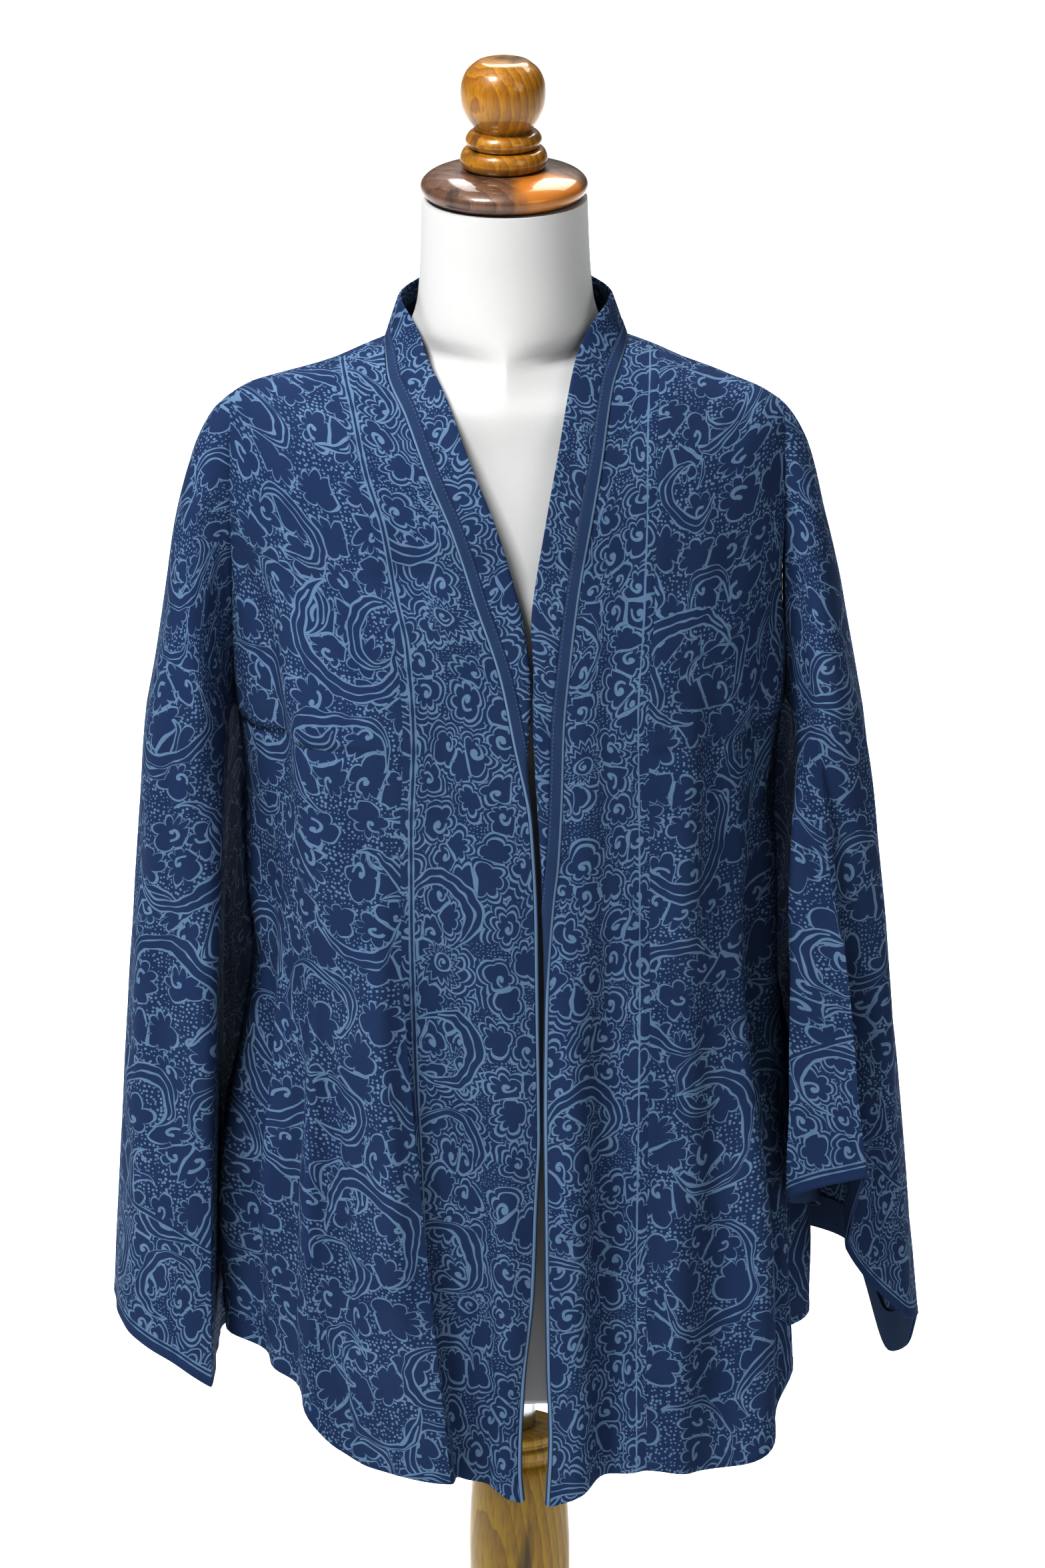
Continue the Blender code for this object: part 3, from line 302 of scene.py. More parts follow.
@dataclass
class Cloth:
    """A grid of places on a piece of cloth, and what it measures laid flat.

    The rows of the grid run across the piece or round it, and its columns run down it. Laid flat,
    the level row and column are the lines from which the print is measured.
    """

    name: str
    places: Array
    ring: bool = False
    thick: float = CLOTH
    level_column: int = 0
    level_row: int = 0

    def __post_init__(self) -> None:
        """Measures the cloth along both ways of its grid."""
        closed = np.concatenate([self.places, self.places[:1]]) if self.ring else self.places
        across = np.linalg.norm(np.diff(closed, axis=0), axis=-1)
        down = np.linalg.norm(np.diff(closed, axis=1), axis=-1)
        self.across = np.concatenate([np.zeros((1, closed.shape[1])), np.cumsum(across, axis=0)])
        self.down = np.concatenate([np.zeros((closed.shape[0], 1)), np.cumsum(down, axis=1)], axis=1)
        level_across = self.across - self.across[self.level_row]
        level_down = self.down - self.down[:, self.level_column:self.level_column + 1]
        self.flat = np.stack([level_across, level_down], axis=-1)
        self.above_hem = self.down[:, -1:] - self.down

    def normals(self) -> Array:
        """Gives the cloth's normals, which point away from what it goes round."""
        if self.ring:
            ahead = np.roll(self.places, -1, axis=0) - np.roll(self.places, 1, axis=0)
            middle = self.places.mean(axis=0, keepdims=True)
        else:
            ahead = np.gradient(self.places, axis=0)
            middle = self.places * np.array([0.0, 0.0, 1.0])
        down = np.gradient(self.places, axis=1)
        normals = unit(np.cross(ahead, down))
        return normals if (normals * (self.places - middle)).sum() > 0 else -normals

    def press(self, lift: Array) -> None:
        """Moves the cloth along its normals by a lift in metres at each place."""
        self.places = self.places + self.normals() * lift[..., None]

    def sew(self, sides: tuple[Array, Array], thickness: Optional[Array] = None,
            moved: tuple[float, float] = (0.0, 0.0)) -> Piece:
        """Makes the closed shell, with its flat places and its edges as two UV maps.

        Args:
            sides: Distances in metres from the panel's seam and from its hem, for the edge lines.
            thickness: The cloth's thickness at each place, or its usual one.
            moved: How far the print is moved on the cloth, in metres.

        Returns:
            The cloth's object, in the scene and at the origin.
        """
        rows, columns = self.places.shape[:2]
        half = (self.thick if thickness is None else thickness[..., None]) / 2
        normals = self.normals()
        skins = np.stack([self.places + normals * half, self.places - normals * half])
        index = np.arange(2 * rows * columns).reshape(2, rows, columns)
        flat_index = np.arange(self.flat.shape[0] * columns).reshape(-1, columns)
        i = np.arange(rows if self.ring else rows - 1)
        j = (i + 1) % rows
        near, far = flat_index[i], flat_index[i + 1]
        faces, marks = [], []
        for skin, turned in ((0, False), (1, True)):
            a, b = index[skin][i], index[skin][j]
            faces.append(quads((a[:, :-1], b[:, :-1], b[:, 1:], a[:, 1:]), turned))
            marks.append(quads((near[:, :-1], far[:, :-1], far[:, 1:], near[:, 1:]), turned))
        for k, turned in ((0, True), (columns - 1, False)):
            a, b = index[:, i, k], index[:, j, k]
            faces.append(quads((a[0], b[0], b[1], a[1]), turned))
            marks.append(quads((near[:, k], far[:, k], far[:, k], near[:, k]), turned))
        for k, turned in () if self.ring else ((0, False), (rows - 1, True)):
            a, b = index[:, k, :-1], index[:, k, 1:]
            c, d = flat_index[k, :-1], flat_index[k, 1:]
            faces.append(quads((a[0], b[0], b[1], a[1]), turned))
            marks.append(quads((c, d, d, c), turned))
        faces, marks = np.concatenate(faces), np.concatenate(marks)
        mesh = bpy.data.meshes.new(self.name)
        mesh.from_pydata(skins.reshape(-1, 3).tolist(), [], faces.tolist())
        edges = np.stack(np.broadcast_arrays(*sides), axis=-1)
        for title, values in (("flat", self.flat + np.array(moved)), ("edges", edges)):
            layer = mesh.uv_layers.new(name=title)
            layer.data.foreach_set("uv", values.reshape(-1, 2)[marks.reshape(-1)].astype(np.float32).ravel())
        mesh.shade_smooth()
        made = stand(mesh)
        point_outwards(made)
        mesh.set_sharp_from_angle(angle=math.radians(60))
        return made


def quads(corners: tuple[Array, Array, Array, Array], turned: bool) -> Array:
    """Joins four grids of corners to faces of four, turned over or not."""
    return np.stack(corners[::-1] if turned else corners, axis=-1).reshape(-1, 4)


def stand(mesh: bpy.types.Mesh) -> Piece:
    """Stands a mesh in the scene, at the origin and under its own name."""
    made = bpy.data.objects.new(mesh.name, mesh)
    bpy.context.scene.collection.objects.link(made)
    return made


def point_outwards(piece: Piece) -> None:
    """Turns a closed piece's faces so that they point outwards."""
    work = bmesh.new()
    work.from_mesh(piece.data)
    bmesh.ops.recalc_face_normals(work, faces=work.faces[:])
    work.to_mesh(piece.data)
    work.free()


def even_places(line: Callable[[Array], Array], low: float, high: float, step: float,
                tight: Sequence[float] = ()) -> Array:
    """Spaces places evenly along a line of cloth.

    Args:
        line: Gives the world places of the line at an array of its own places.
        low: The first place.
        high: The last place.
        step: The spacing in metres.
        tight: More places, as distances in metres back from the line's end.

    Returns:
        The line's own places, evenly far apart on the cloth.
    """
    fine = np.linspace(low, high, 1200)
    run = np.concatenate([[0], np.cumsum(np.linalg.norm(np.diff(line(fine), axis=0), axis=-1))])
    count = max(2, round(run[-1] / step))
    wanted = np.linspace(0, run[-1], count + 1)
    if tight:
        even = wanted[wanted < run[-1] - max(tight) - step / 2]
        wanted = np.concatenate([even, run[-1] - np.array(tight), run[-1:]])
    return np.interp(wanted, run, fine)


HEM_STEPS = (0.0045, 0.0036, 0.0030, 0.0008, 0.0003)  # the grid's last rows, above the hem
HEM_HEIGHT = 0.0052
HEM_STITCHES = 0.0033
HEM_ROUNDING = 0.0012


def hem_thickness(above: Array) -> Array:
    """Gives the cloth's thickness at distances above a narrow hem.

    Args:
        above: Distances above the hem's edge.

    Returns:
        The thickness: more in the hem, pressed in along its stitches and rounded at its edge.
    """
    doubled = 0.55 * ease((HEM_HEIGHT - above) / 0.0007)
    pressed = 0.45 * np.exp(-(((above - HEM_STITCHES) / 0.0005) ** 2))
    return CLOTH * (1 + doubled - pressed) * np.sqrt(np.clip(0.15 + above / HEM_ROUNDING, 0, 1))


def rumple(flat: Array, seed: int, height: float) -> Array:
    """Gives small soft unevenness of worn cotton: short waves, 18 to 70 mm long and mostly upright.

    Args:
        flat: The cloth's places laid flat, in metres.
        seed: Which of the uneven patterns it is.
        height: The usual lift in metres.

    Returns:
        The lift at each place.
    """
    rng = np.random.default_rng(seed)
    total = np.zeros(flat.shape[:-1])
    for _ in range(14):
        length = rng.uniform(0.018, 0.070)
        angle = rng.normal(0, 0.55)
        waves = np.cos(angle) * flat[..., 0] + 0.35 * np.sin(angle) * flat[..., 1]
        fade = np.sin(FULL_TURN * (flat @ rng.uniform(-6, 6, 2)) + rng.uniform(0, 6))
        total += np.sin(FULL_TURN * waves / length + rng.uniform(0, 6)) * fade * length / 0.05
    return height * total / 3


def seam_lift(distance: Array, along: Array, seed: int) -> Array:
    """Draws the cloth in at a seam and puckers it slightly beside the stitches.

    Args:
        distance: Distances from the seam.
        along: Places along it, in metres.
        seed: Which of the uneven rows of puckers it is.

    Returns:
        The lift at each place: 0.6 mm in at the seam, and puckers about 8.5 mm apart beside it.
    """
    rng = np.random.default_rng(seed)
    waves = np.sin(FULL_TURN * along / 0.0085 + 2 * np.sin(along * rng.uniform(60, 90)))
    drawn_in = -0.0006 * np.exp(-((distance / 0.0022) ** 2))
    return drawn_in + 0.00012 * waves * np.exp(-((distance / 0.006) ** 2))


def creased(cloth: Cloth, creases: Sequence[Crease], across: Array, fall: Array) -> Array:
    """Adds up the lifts of a piece's creases.

    Args:
        cloth: The piece.
        creases: Its creases, with ends in the places of the two lists.
        across: The piece's own places across or round it.
        fall: The piece's own places down it.

    Returns:
        The lift at each place of the grid.
    """
    total = np.zeros(cloth.flat.shape[:2])
    for crease in creases:
        ends = [cloth.flat[nearest(across, u), nearest(fall, v)] for u, v in (crease.start, crease.end)]
        total += crease.lift(cloth.flat, (ends[0], ends[1]))
    return total[:-1] if cloth.ring else total


def hand_in(piece: Piece, finishes: Sequence[Material], node: Optional[str] = None) -> Piece:
    """Gives a piece its finishes and its place in the part.

    Args:
        piece: The finished piece.
        finishes: Its materials.
        node: The CAD node that it stands for, if any.

    Returns:
        The piece.
    """
    for finish in finishes:
        piece.data.materials.append(finish)
    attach(piece, "root")
    if node:
        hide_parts(node)
    return piece


# The jacket's pieces


@dataclass
class Front:
    """One front, from its edge (0) over the panel seam (1) to the side (2).

    Its two panels are cut apart at the seam, and each has its own creases. What is rolled under
    at its edge follows a share of its folds, and lies a little higher at the very hem.
    """

    side: int
    edge: Line
    seam: Line
    hem: Line
    folds: tuple[Fold, ...]
    centre_creases: tuple[Crease, ...]
    side_creases: tuple[Crease, ...]
    step: float = 0.0033
    centre_width: float = 0.070
    share_followed: float = 0.6
    hem_lift: float = 0.0012

    def out_at(self, across: Array, edge: Places, seam: Places, wide: Places) -> tuple[Array, Array]:
        """Gives the distance out from the centre line at a place across, and its angle to the side.

        Args:
            across: Places across the front.
            edge: How far out the front's edge is there.
            seam: How far out its panel seam is.
            wide: Half the jacket's width there.

        Returns:
            The distances out, and the angles in radians, which end at a right angle.
        """
        angles = [np.arcsin(np.clip(v / wide, -1, 1)) for v in (edge, seam)]
        inner = angles[0] + (angles[1] - angles[0]) * across
        outer = angles[1] + (math.pi / 2 - angles[1]) * (across - 1)
        angle = np.minimum(np.where(across < 1, inner, outer), math.pi / 2)
        return wide * np.sin(angle), angle

    def drop(self, across: Array, fall: Array) -> tuple[Array, Array, Array]:
        """Gives the drop of a place on the front, its turn over the shoulder and the chest's drop."""
        out = self.out_at(across, FIGURE.neck_out, self.seam.values[0], FIGURE.armhole_out)[0]
        top = FIGURE.shoulder_drop(self.side, out)
        mid = FIGURE.armhole_middle(self.side)[0]
        low = FIGURE.chest_drop + (mid - FIGURE.chest_drop) * np.clip(across / 2, 0, 1)
        turn = np.clip(fall / FIGURE.shoulder_share, 0, 1) * math.pi / 2
        return FIGURE.drop_down(fall, low, self.hem.at(across)) - (low - top) * np.cos(turn), turn, low

    def point(self, across: Places, fall: Places) -> Array:
        """Gives the world places of the front at its own places across and down."""
        across, fall = matched(across, fall)
        drop, turn, low = self.drop(across, fall)
        zero = np.zeros_like(across)
        edge = self.side * self.edge.at(self.drop(zero, fall)[0])
        seam = self.seam.at(self.drop(zero + 1, fall)[0])
        middle = FIGURE.armhole_middle(self.side)[0]
        wide = FIGURE.side_line(FIGURE.drop_down(fall, middle, FIGURE.side_hem(self.side)))
        x, angle = self.out_at(across, edge, seam, wide)
        held = np.maximum(drop, low)
        y = -FIGURE.depth_at(x, held, FIGURE.front.at(held), wide, self.side) * np.sin(turn)
        quiet = np.clip(across / 0.20, 0, 1) * np.clip((2 - across) / 0.20, 0, 1)
        for fold in self.folds:
            out, along = fold.shift(across, fall)
            x = x + quiet * (out * np.sin(angle) + along * np.cos(angle))
            y = y + quiet * (along * np.sin(angle) - out * np.cos(angle))
        return place_at(self.side * x, y, drop)

    def moved(self, inward: Array, fall: Array) -> Array:
        """Gives how folds and hem move what is rolled under at the front's edge.

        Args:
            inward: Distances in from the edge, along the cloth.
            fall: Places down the front.

        Returns:
            The moves, as vectors in metres.
        """
        wide = np.linalg.norm(self.point(1 + 0 * fall, fall) - self.point(0 * fall, fall), axis=-1)
        across = np.clip(inward / wide, 0, 0.95)
        smooth = replace(self, folds=())
        there = smooth.point(across, fall)
        rise = (there - smooth.point(0 * fall, fall))[..., 2]
        moved = self.share_followed * (self.point(across, fall) - there)
        moved[..., 2] += np.where(fall > FIGURE.underarm_share, rise, 0)
        moved[..., 2] += self.hem_lift * ease((fall - 0.97) / 0.03) * ease(inward / 0.004)
        return moved

    def panel(self, name: str, low: float, high: float, creases: tuple[Crease, ...], seed: int) -> Cloth:
        """Lays out one panel with its creases, which fade towards the shoulder and the seams.

        Args:
            name: The panel's name.
            low: Its first place across the front.
            high: Its last place across the front.
            creases: Its creases.
            seed: Which slight unevenness it has.

        Returns:
            The panel's cloth.
        """
        middle = (low + high) / 2
        rows = even_places(lambda v: self.point(middle, v), 0, 1, self.step, HEM_STEPS)
        columns = even_places(lambda u: self.point(u, 0.6), low, high, self.step)
        places = self.point(*np.meshgrid(columns, rows, indexing="ij"))
        places[:, 0, 1] = -SEAM_GAP / 2
        if high == 2:
            above = rows < FIGURE.underarm_share
            places[-1, above, 0] = self.side * (FIGURE.armhole_out - SEAM_GAP / 2)
            places[-1, ~above, 1] = -SEAM_GAP / 2
        level = nearest(rows, 0.5)
        cloth = Cloth(name, places, level_row=0 if high == 2 else len(columns) - 1, level_column=level)
        lift = creased(cloth, creases, columns, rows) + rumple(cloth.flat, seed, RUMPLE)
        calm = ease(cloth.down / 0.03)
        seam = np.abs(cloth.flat[..., 0])
        cloth.press(lift * calm * ease(seam / 0.012 + 0.25) + seam_lift(seam, cloth.flat[..., 1], seed))
        return cloth

    def build(self, prints: "Prints") -> list[Piece]:
        """Makes the front's two panels and dresses them.

        Args:
            prints: The jacket's printed finishes.

        Returns:
            The centre panel and the side panel.
        """
        gap = PANEL_GAP / 2 / self.centre_width
        word = SIDE_NAMES[self.side]
        made = []
        parts = (
            ("front_centre", 0.0, 1 - gap, self.centre_creases, prints.centres[self.side], (0.098, 0.83)),
            ("front_side", 1 + gap, 2.0, self.side_creases, prints.side, (0.26, 0.80)),
        )
        for seed, (title, low, high, creases, finish, cut) in enumerate(parts):
            cloth = self.panel(f"{title}_{word}_cloth", low, high, creases, seed * 7 + self.side + 11)
            moved = (1.3 * self.side, 0.7 * self.side)
            hem = cloth.above_hem
            piece = cloth.sew((np.abs(cloth.flat[..., 0]), hem), hem_thickness(hem), moved)
            hand_in(piece, [finish], f"{title}_{word}")
            made.append(piece)
        return made


@dataclass
class Back:
    """The back, cut in one piece from the right side seam (-1) to the left one (1)."""

    folds: tuple[Fold, ...]
    creases: tuple[Crease, ...]
    step: float = 0.0036

    def point(self, across: Places, fall: Places) -> Array:
        """Gives the world places of the back at its own places across and down."""
        across, fall = matched(across, fall)
        angle = across * math.pi / 2
        mid = FIGURE.armhole_middle(across)[0]
        low = FIGURE.chest_drop + (mid - FIGURE.chest_drop) * across**2
        top_x = FIGURE.armhole_out * np.abs(np.sin(angle))
        full = FIGURE.depth_at(top_x, low, FIGURE.back.at(low), FIGURE.armhole_out, across)
        inside = np.sqrt(np.clip(1 - (top_x / FIGURE.neck_out) ** 2, 0, 1))
        first = np.arcsin(np.clip(FIGURE.neck_back * inside / full, 0, 0.95))
        edge = FIGURE.neck_side_drop + (FIGURE.neck_back_drop - FIGURE.neck_side_drop) * inside
        edge = np.where(top_x < FIGURE.neck_out, edge, FIGURE.shoulder_drop(across, top_x))
        virtual = low - (low - edge) / np.cos(first)
        turn = first + (math.pi / 2 - first) * np.clip(fall / FIGURE.shoulder_share, 0, 1)
        side_hem = FIGURE.side_hem(across)
        hem = FIGURE.hem_back_drop + (side_hem - FIGURE.hem_back_drop) * across**2
        drop = FIGURE.drop_down(fall, low, hem) - (low - virtual) * np.cos(turn)
        wide = FIGURE.side_line(FIGURE.drop_down(fall, mid, side_hem))
        x = wide * np.sin(angle)
        held = np.maximum(drop, low)
        y = FIGURE.depth_at(x, held, FIGURE.back.at(held), wide, across) * np.sin(turn)
        quiet = np.clip((1 - np.abs(across)) / 0.15, 0, 1)
        for fold in self.folds:
            out, along = fold.shift(across, fall)
            x = x + quiet * (out * np.sin(angle) + along * np.cos(angle))
            y = y + quiet * (out * np.cos(angle) - along * np.sin(angle))
        return place_at(x, y, drop)

    def build(self, prints: "Prints") -> list[Piece]:
        """Makes the back and dresses it.

        Args:
            prints: The jacket's printed finishes.

        Returns:
            The back, alone in its list.
        """
        rows = even_places(lambda v: self.point(0.45, v), 0, 1, self.step, HEM_STEPS)
        neck = math.asin(FIGURE.neck_out / FIGURE.armhole_out) / (math.pi / 2)
        columns = even_places(lambda u: self.point(u, 0.6), -1, 1, self.step)
        for place in (-neck, neck):
            columns[nearest(columns, place)] = place
        places = self.point(*np.meshgrid(columns, rows, indexing="ij"))
        places[np.abs(columns) >= neck - TINY, 0, 1] = SEAM_GAP / 2
        above = rows < FIGURE.underarm_share
        for side, column in ((-1, 0), (1, -1)):
            places[column, above, 0] = side * (FIGURE.armhole_out - SEAM_GAP / 2)
            places[column, ~above, 1] = SEAM_GAP / 2
        level = nearest(rows, 0.5)
        cloth = Cloth("back_cloth", places, level_row=len(columns) // 2, level_column=level)
        lift = creased(cloth, self.creases, columns, rows) + rumple(cloth.flat, 5, RUMPLE)
        near_side = np.minimum(cloth.across, cloth.across[-1:] - cloth.across)
        calm = ease(cloth.down / 0.04) * ease(near_side / 0.02)
        cloth.press(lift * calm + seam_lift(near_side, cloth.flat[..., 1], 3))
        piece = cloth.sew((near_side, cloth.above_hem), hem_thickness(cloth.above_hem))
        hand_in(piece, [prints.back], "back")
        return [piece]


@dataclass
class Sleeve:
    """A wide straight sleeve.

    Its own places are degrees round it, from its outer line over the front, and a share along it
    from the armhole to the cuff. The cuff is given by its corners: how far out, back and down they
    are, and how late the sleeve flares towards each. The elbow is the bend where it falls.
    """

    side: int
    outer: Line
    cuff_angles: tuple[int, ...]
    elbow_angles: tuple[int, ...]
    cuff_out: tuple[float, ...]
    cuff_back: tuple[float, ...]
    cuff_drop: tuple[float, ...]
    flare: tuple[float, ...]
    creases: tuple[Crease, ...]
    flat: tuple[float, float]
    border: float = 0.105
    start: float = 205.0
    middle: float = 60.0
    step: float = 0.0034
    elbow_radius: float = 0.0045
    elbow_share: float = 0.34
    elbow_depth: float = 0.064
    elbow_power: float = 2.7

    def elbow(self, around: Array, turn: Array) -> tuple[Array, Array, Array]:
        """Gives places on the bend where the sleeve falls from the armhole.

        Args:
            around: Degrees round the sleeve.
            turn: The bend's turn in radians, up to a right angle.

        Returns:
            The distances out, the distances back and the drops.
        """
        bent = np.clip(turn / (math.pi / 2), 0, 1)
        in_out = FIGURE.armhole_out + self.elbow_radius * np.sin(turn)
        in_drop = FIGURE.underarm + self.elbow_radius * (1 - np.cos(turn))
        first, last = self.outer.places[0], FIGURE.underarm + self.elbow_radius
        out_drop = first + (last - first) * bent
        out_out = self.outer.at(out_drop)
        deep = FIGURE.armhole_half_depth + (self.elbow_depth - FIGURE.armhole_half_depth) * np.sin(turn)
        power = 2 / (2 + (self.elbow_power - 2) * bent)
        angle = np.radians(around)
        wide = np.sign(np.cos(angle)) * np.abs(np.cos(angle)) ** power
        front = np.sign(np.sin(angle)) * np.abs(np.sin(angle)) ** power
        x = (in_out + out_out) / 2 + (out_out - in_out) / 2 * wide
        return x, -deep * front, (in_drop + out_drop) / 2 + (out_drop - in_drop) / 2 * wide

    def point(self, around: Places, along: Places) -> Array:
        """Gives the world places of the sleeve at its own places round and along it."""
        around, along = matched(around, along)
        turn = np.clip(along / self.elbow_share, 0, 1) * math.pi / 2
        closed = Line((*self.cuff_angles, 360), (*self.elbow_angles, 360))
        x, y, drop = self.elbow(closed.at(np.mod(around, 360)), turn)
        down = np.clip((along - self.elbow_share) / (1 - self.elbow_share), 0, 1.02)
        end_x = Line(self.cuff_angles, self.cuff_out).round_at(around)
        end_y = Line(self.cuff_angles, self.cuff_back).round_at(around)
        end_drop = Line(self.cuff_angles, self.cuff_drop).round_at(around)
        spread = down ** Line(self.cuff_angles, self.flare).round_at(around)
        x = x + (end_x - x) * spread
        y = y + (end_y - y) * spread
        return place_at(self.side * x, y, drop + (end_drop - drop) * down)

    def own_angle(self, degrees: float) -> float:
        """Gives an angle in the sleeve's own turn, which starts at its hidden inner back."""
        return self.start + (degrees - self.start) % 360

    def around(self) -> Array:
        """Gives even places round the sleeve, with one at each corner of its cuff."""
        places = even_places(lambda u: self.point(u, 1 - TINY), self.start, self.start + 360, self.step)[:-1]
        for corner in self.cuff_angles:
            corner = self.own_angle(corner)
            places[nearest(places, corner)] = corner
        return places

    def build(self, prints: "Prints") -> list[Piece]:
        """Makes the sleeve and dresses it with its print and the border at its end.

        Args:
            prints: The jacket's printed finishes.

        Returns:
            The sleeve, alone in its list.
        """
        around = self.around()
        rows = even_places(lambda v: self.point(20.0, v), 0, 1, self.step, HEM_STEPS)
        places = self.point(*np.meshgrid(around, rows, indexing="ij"))
        places[:, 0, 0] = self.side * (FIGURE.armhole_out + SEAM_GAP / 2)
        name = f"sleeve_{SIDE_NAMES[self.side]}"
        row, column = nearest(around, self.own_angle(self.middle)), nearest(rows, self.elbow_share)
        cloth = Cloth(f"{name}_cloth", places, ring=True, level_row=row, level_column=column)
        creases = [replace(crease, start=(self.own_angle(crease.start[0]), crease.start[1]),
                           end=(self.own_angle(crease.end[0]), crease.end[1])) for crease in self.creases]
        lift = creased(cloth, creases, np.append(around, self.start + 360), rows)
        lift = lift + rumple(cloth.flat[:-1], 31 + self.side, RUMPLE)
        fall = cloth.down[:-1]
        cloth.press(lift * ease(fall / 0.05) + seam_lift(fall, cloth.across[:-1], 9))
        hem = cloth.above_hem
        moved = (0.9 * self.side, 1.7 * self.side)
        piece = cloth.sew((cloth.flat[..., 0], hem), hem_thickness(hem[:-1]), moved)
        hand_in(piece, [prints.sleeve, prints.border], name)
        self.set_border(piece)
        return [piece]

    def set_border(self, piece: Piece) -> None:
        """Gives the faces near the cuff the border's print, by their distance above the hem."""
        mesh = piece.data
        edges = np.zeros(len(mesh.loops) * 2, np.float32)
        mesh.uv_layers["edges"].data.foreach_get("uv", edges)
        first = np.zeros(len(mesh.polygons), np.int32)
        mesh.polygons.foreach_get("loop_start", first)
        near = edges.reshape(-1, 2)[first, 1] < self.border
        mesh.polygons.foreach_set("material_index", near.astype(np.int32))


@dataclass
class CuffFacing:
    """The plain strip inside a cuff, from a share along the sleeve, moved in from its points."""

    sleeve: Sleeve
    start: float = 0.96
    rows: int = 9
    thick: float = 0.0010
    gap: float = 0.0008

    def build(self, plain: Material) -> list[Piece]:
        """Makes the strip and dresses it.

        Args:
            plain: The plain cotton.

        Returns:
            The strip, alone in its list.
        """
        sleeve = self.sleeve
        around = sleeve.around()
        rows = np.linspace(self.start, 1 - TINY, self.rows)
        places = sleeve.point(*np.meshgrid(around, rows, indexing="ij"))
        whole = Cloth("cuff_places", places, ring=True)
        inward = CLOTH / 2 + self.gap + self.thick / 2
        moved = places - whole.normals() * inward
        name = f"cuff_facing_{SIDE_NAMES[sleeve.side]}"
        cloth = Cloth(f"{name}_cloth", moved, ring=True, thick=self.thick, level_column=self.rows - 1)
        piece = cloth.sew((cloth.flat[..., 0], cloth.above_hem))
        hand_in(piece, [plain], name)
        return [piece]


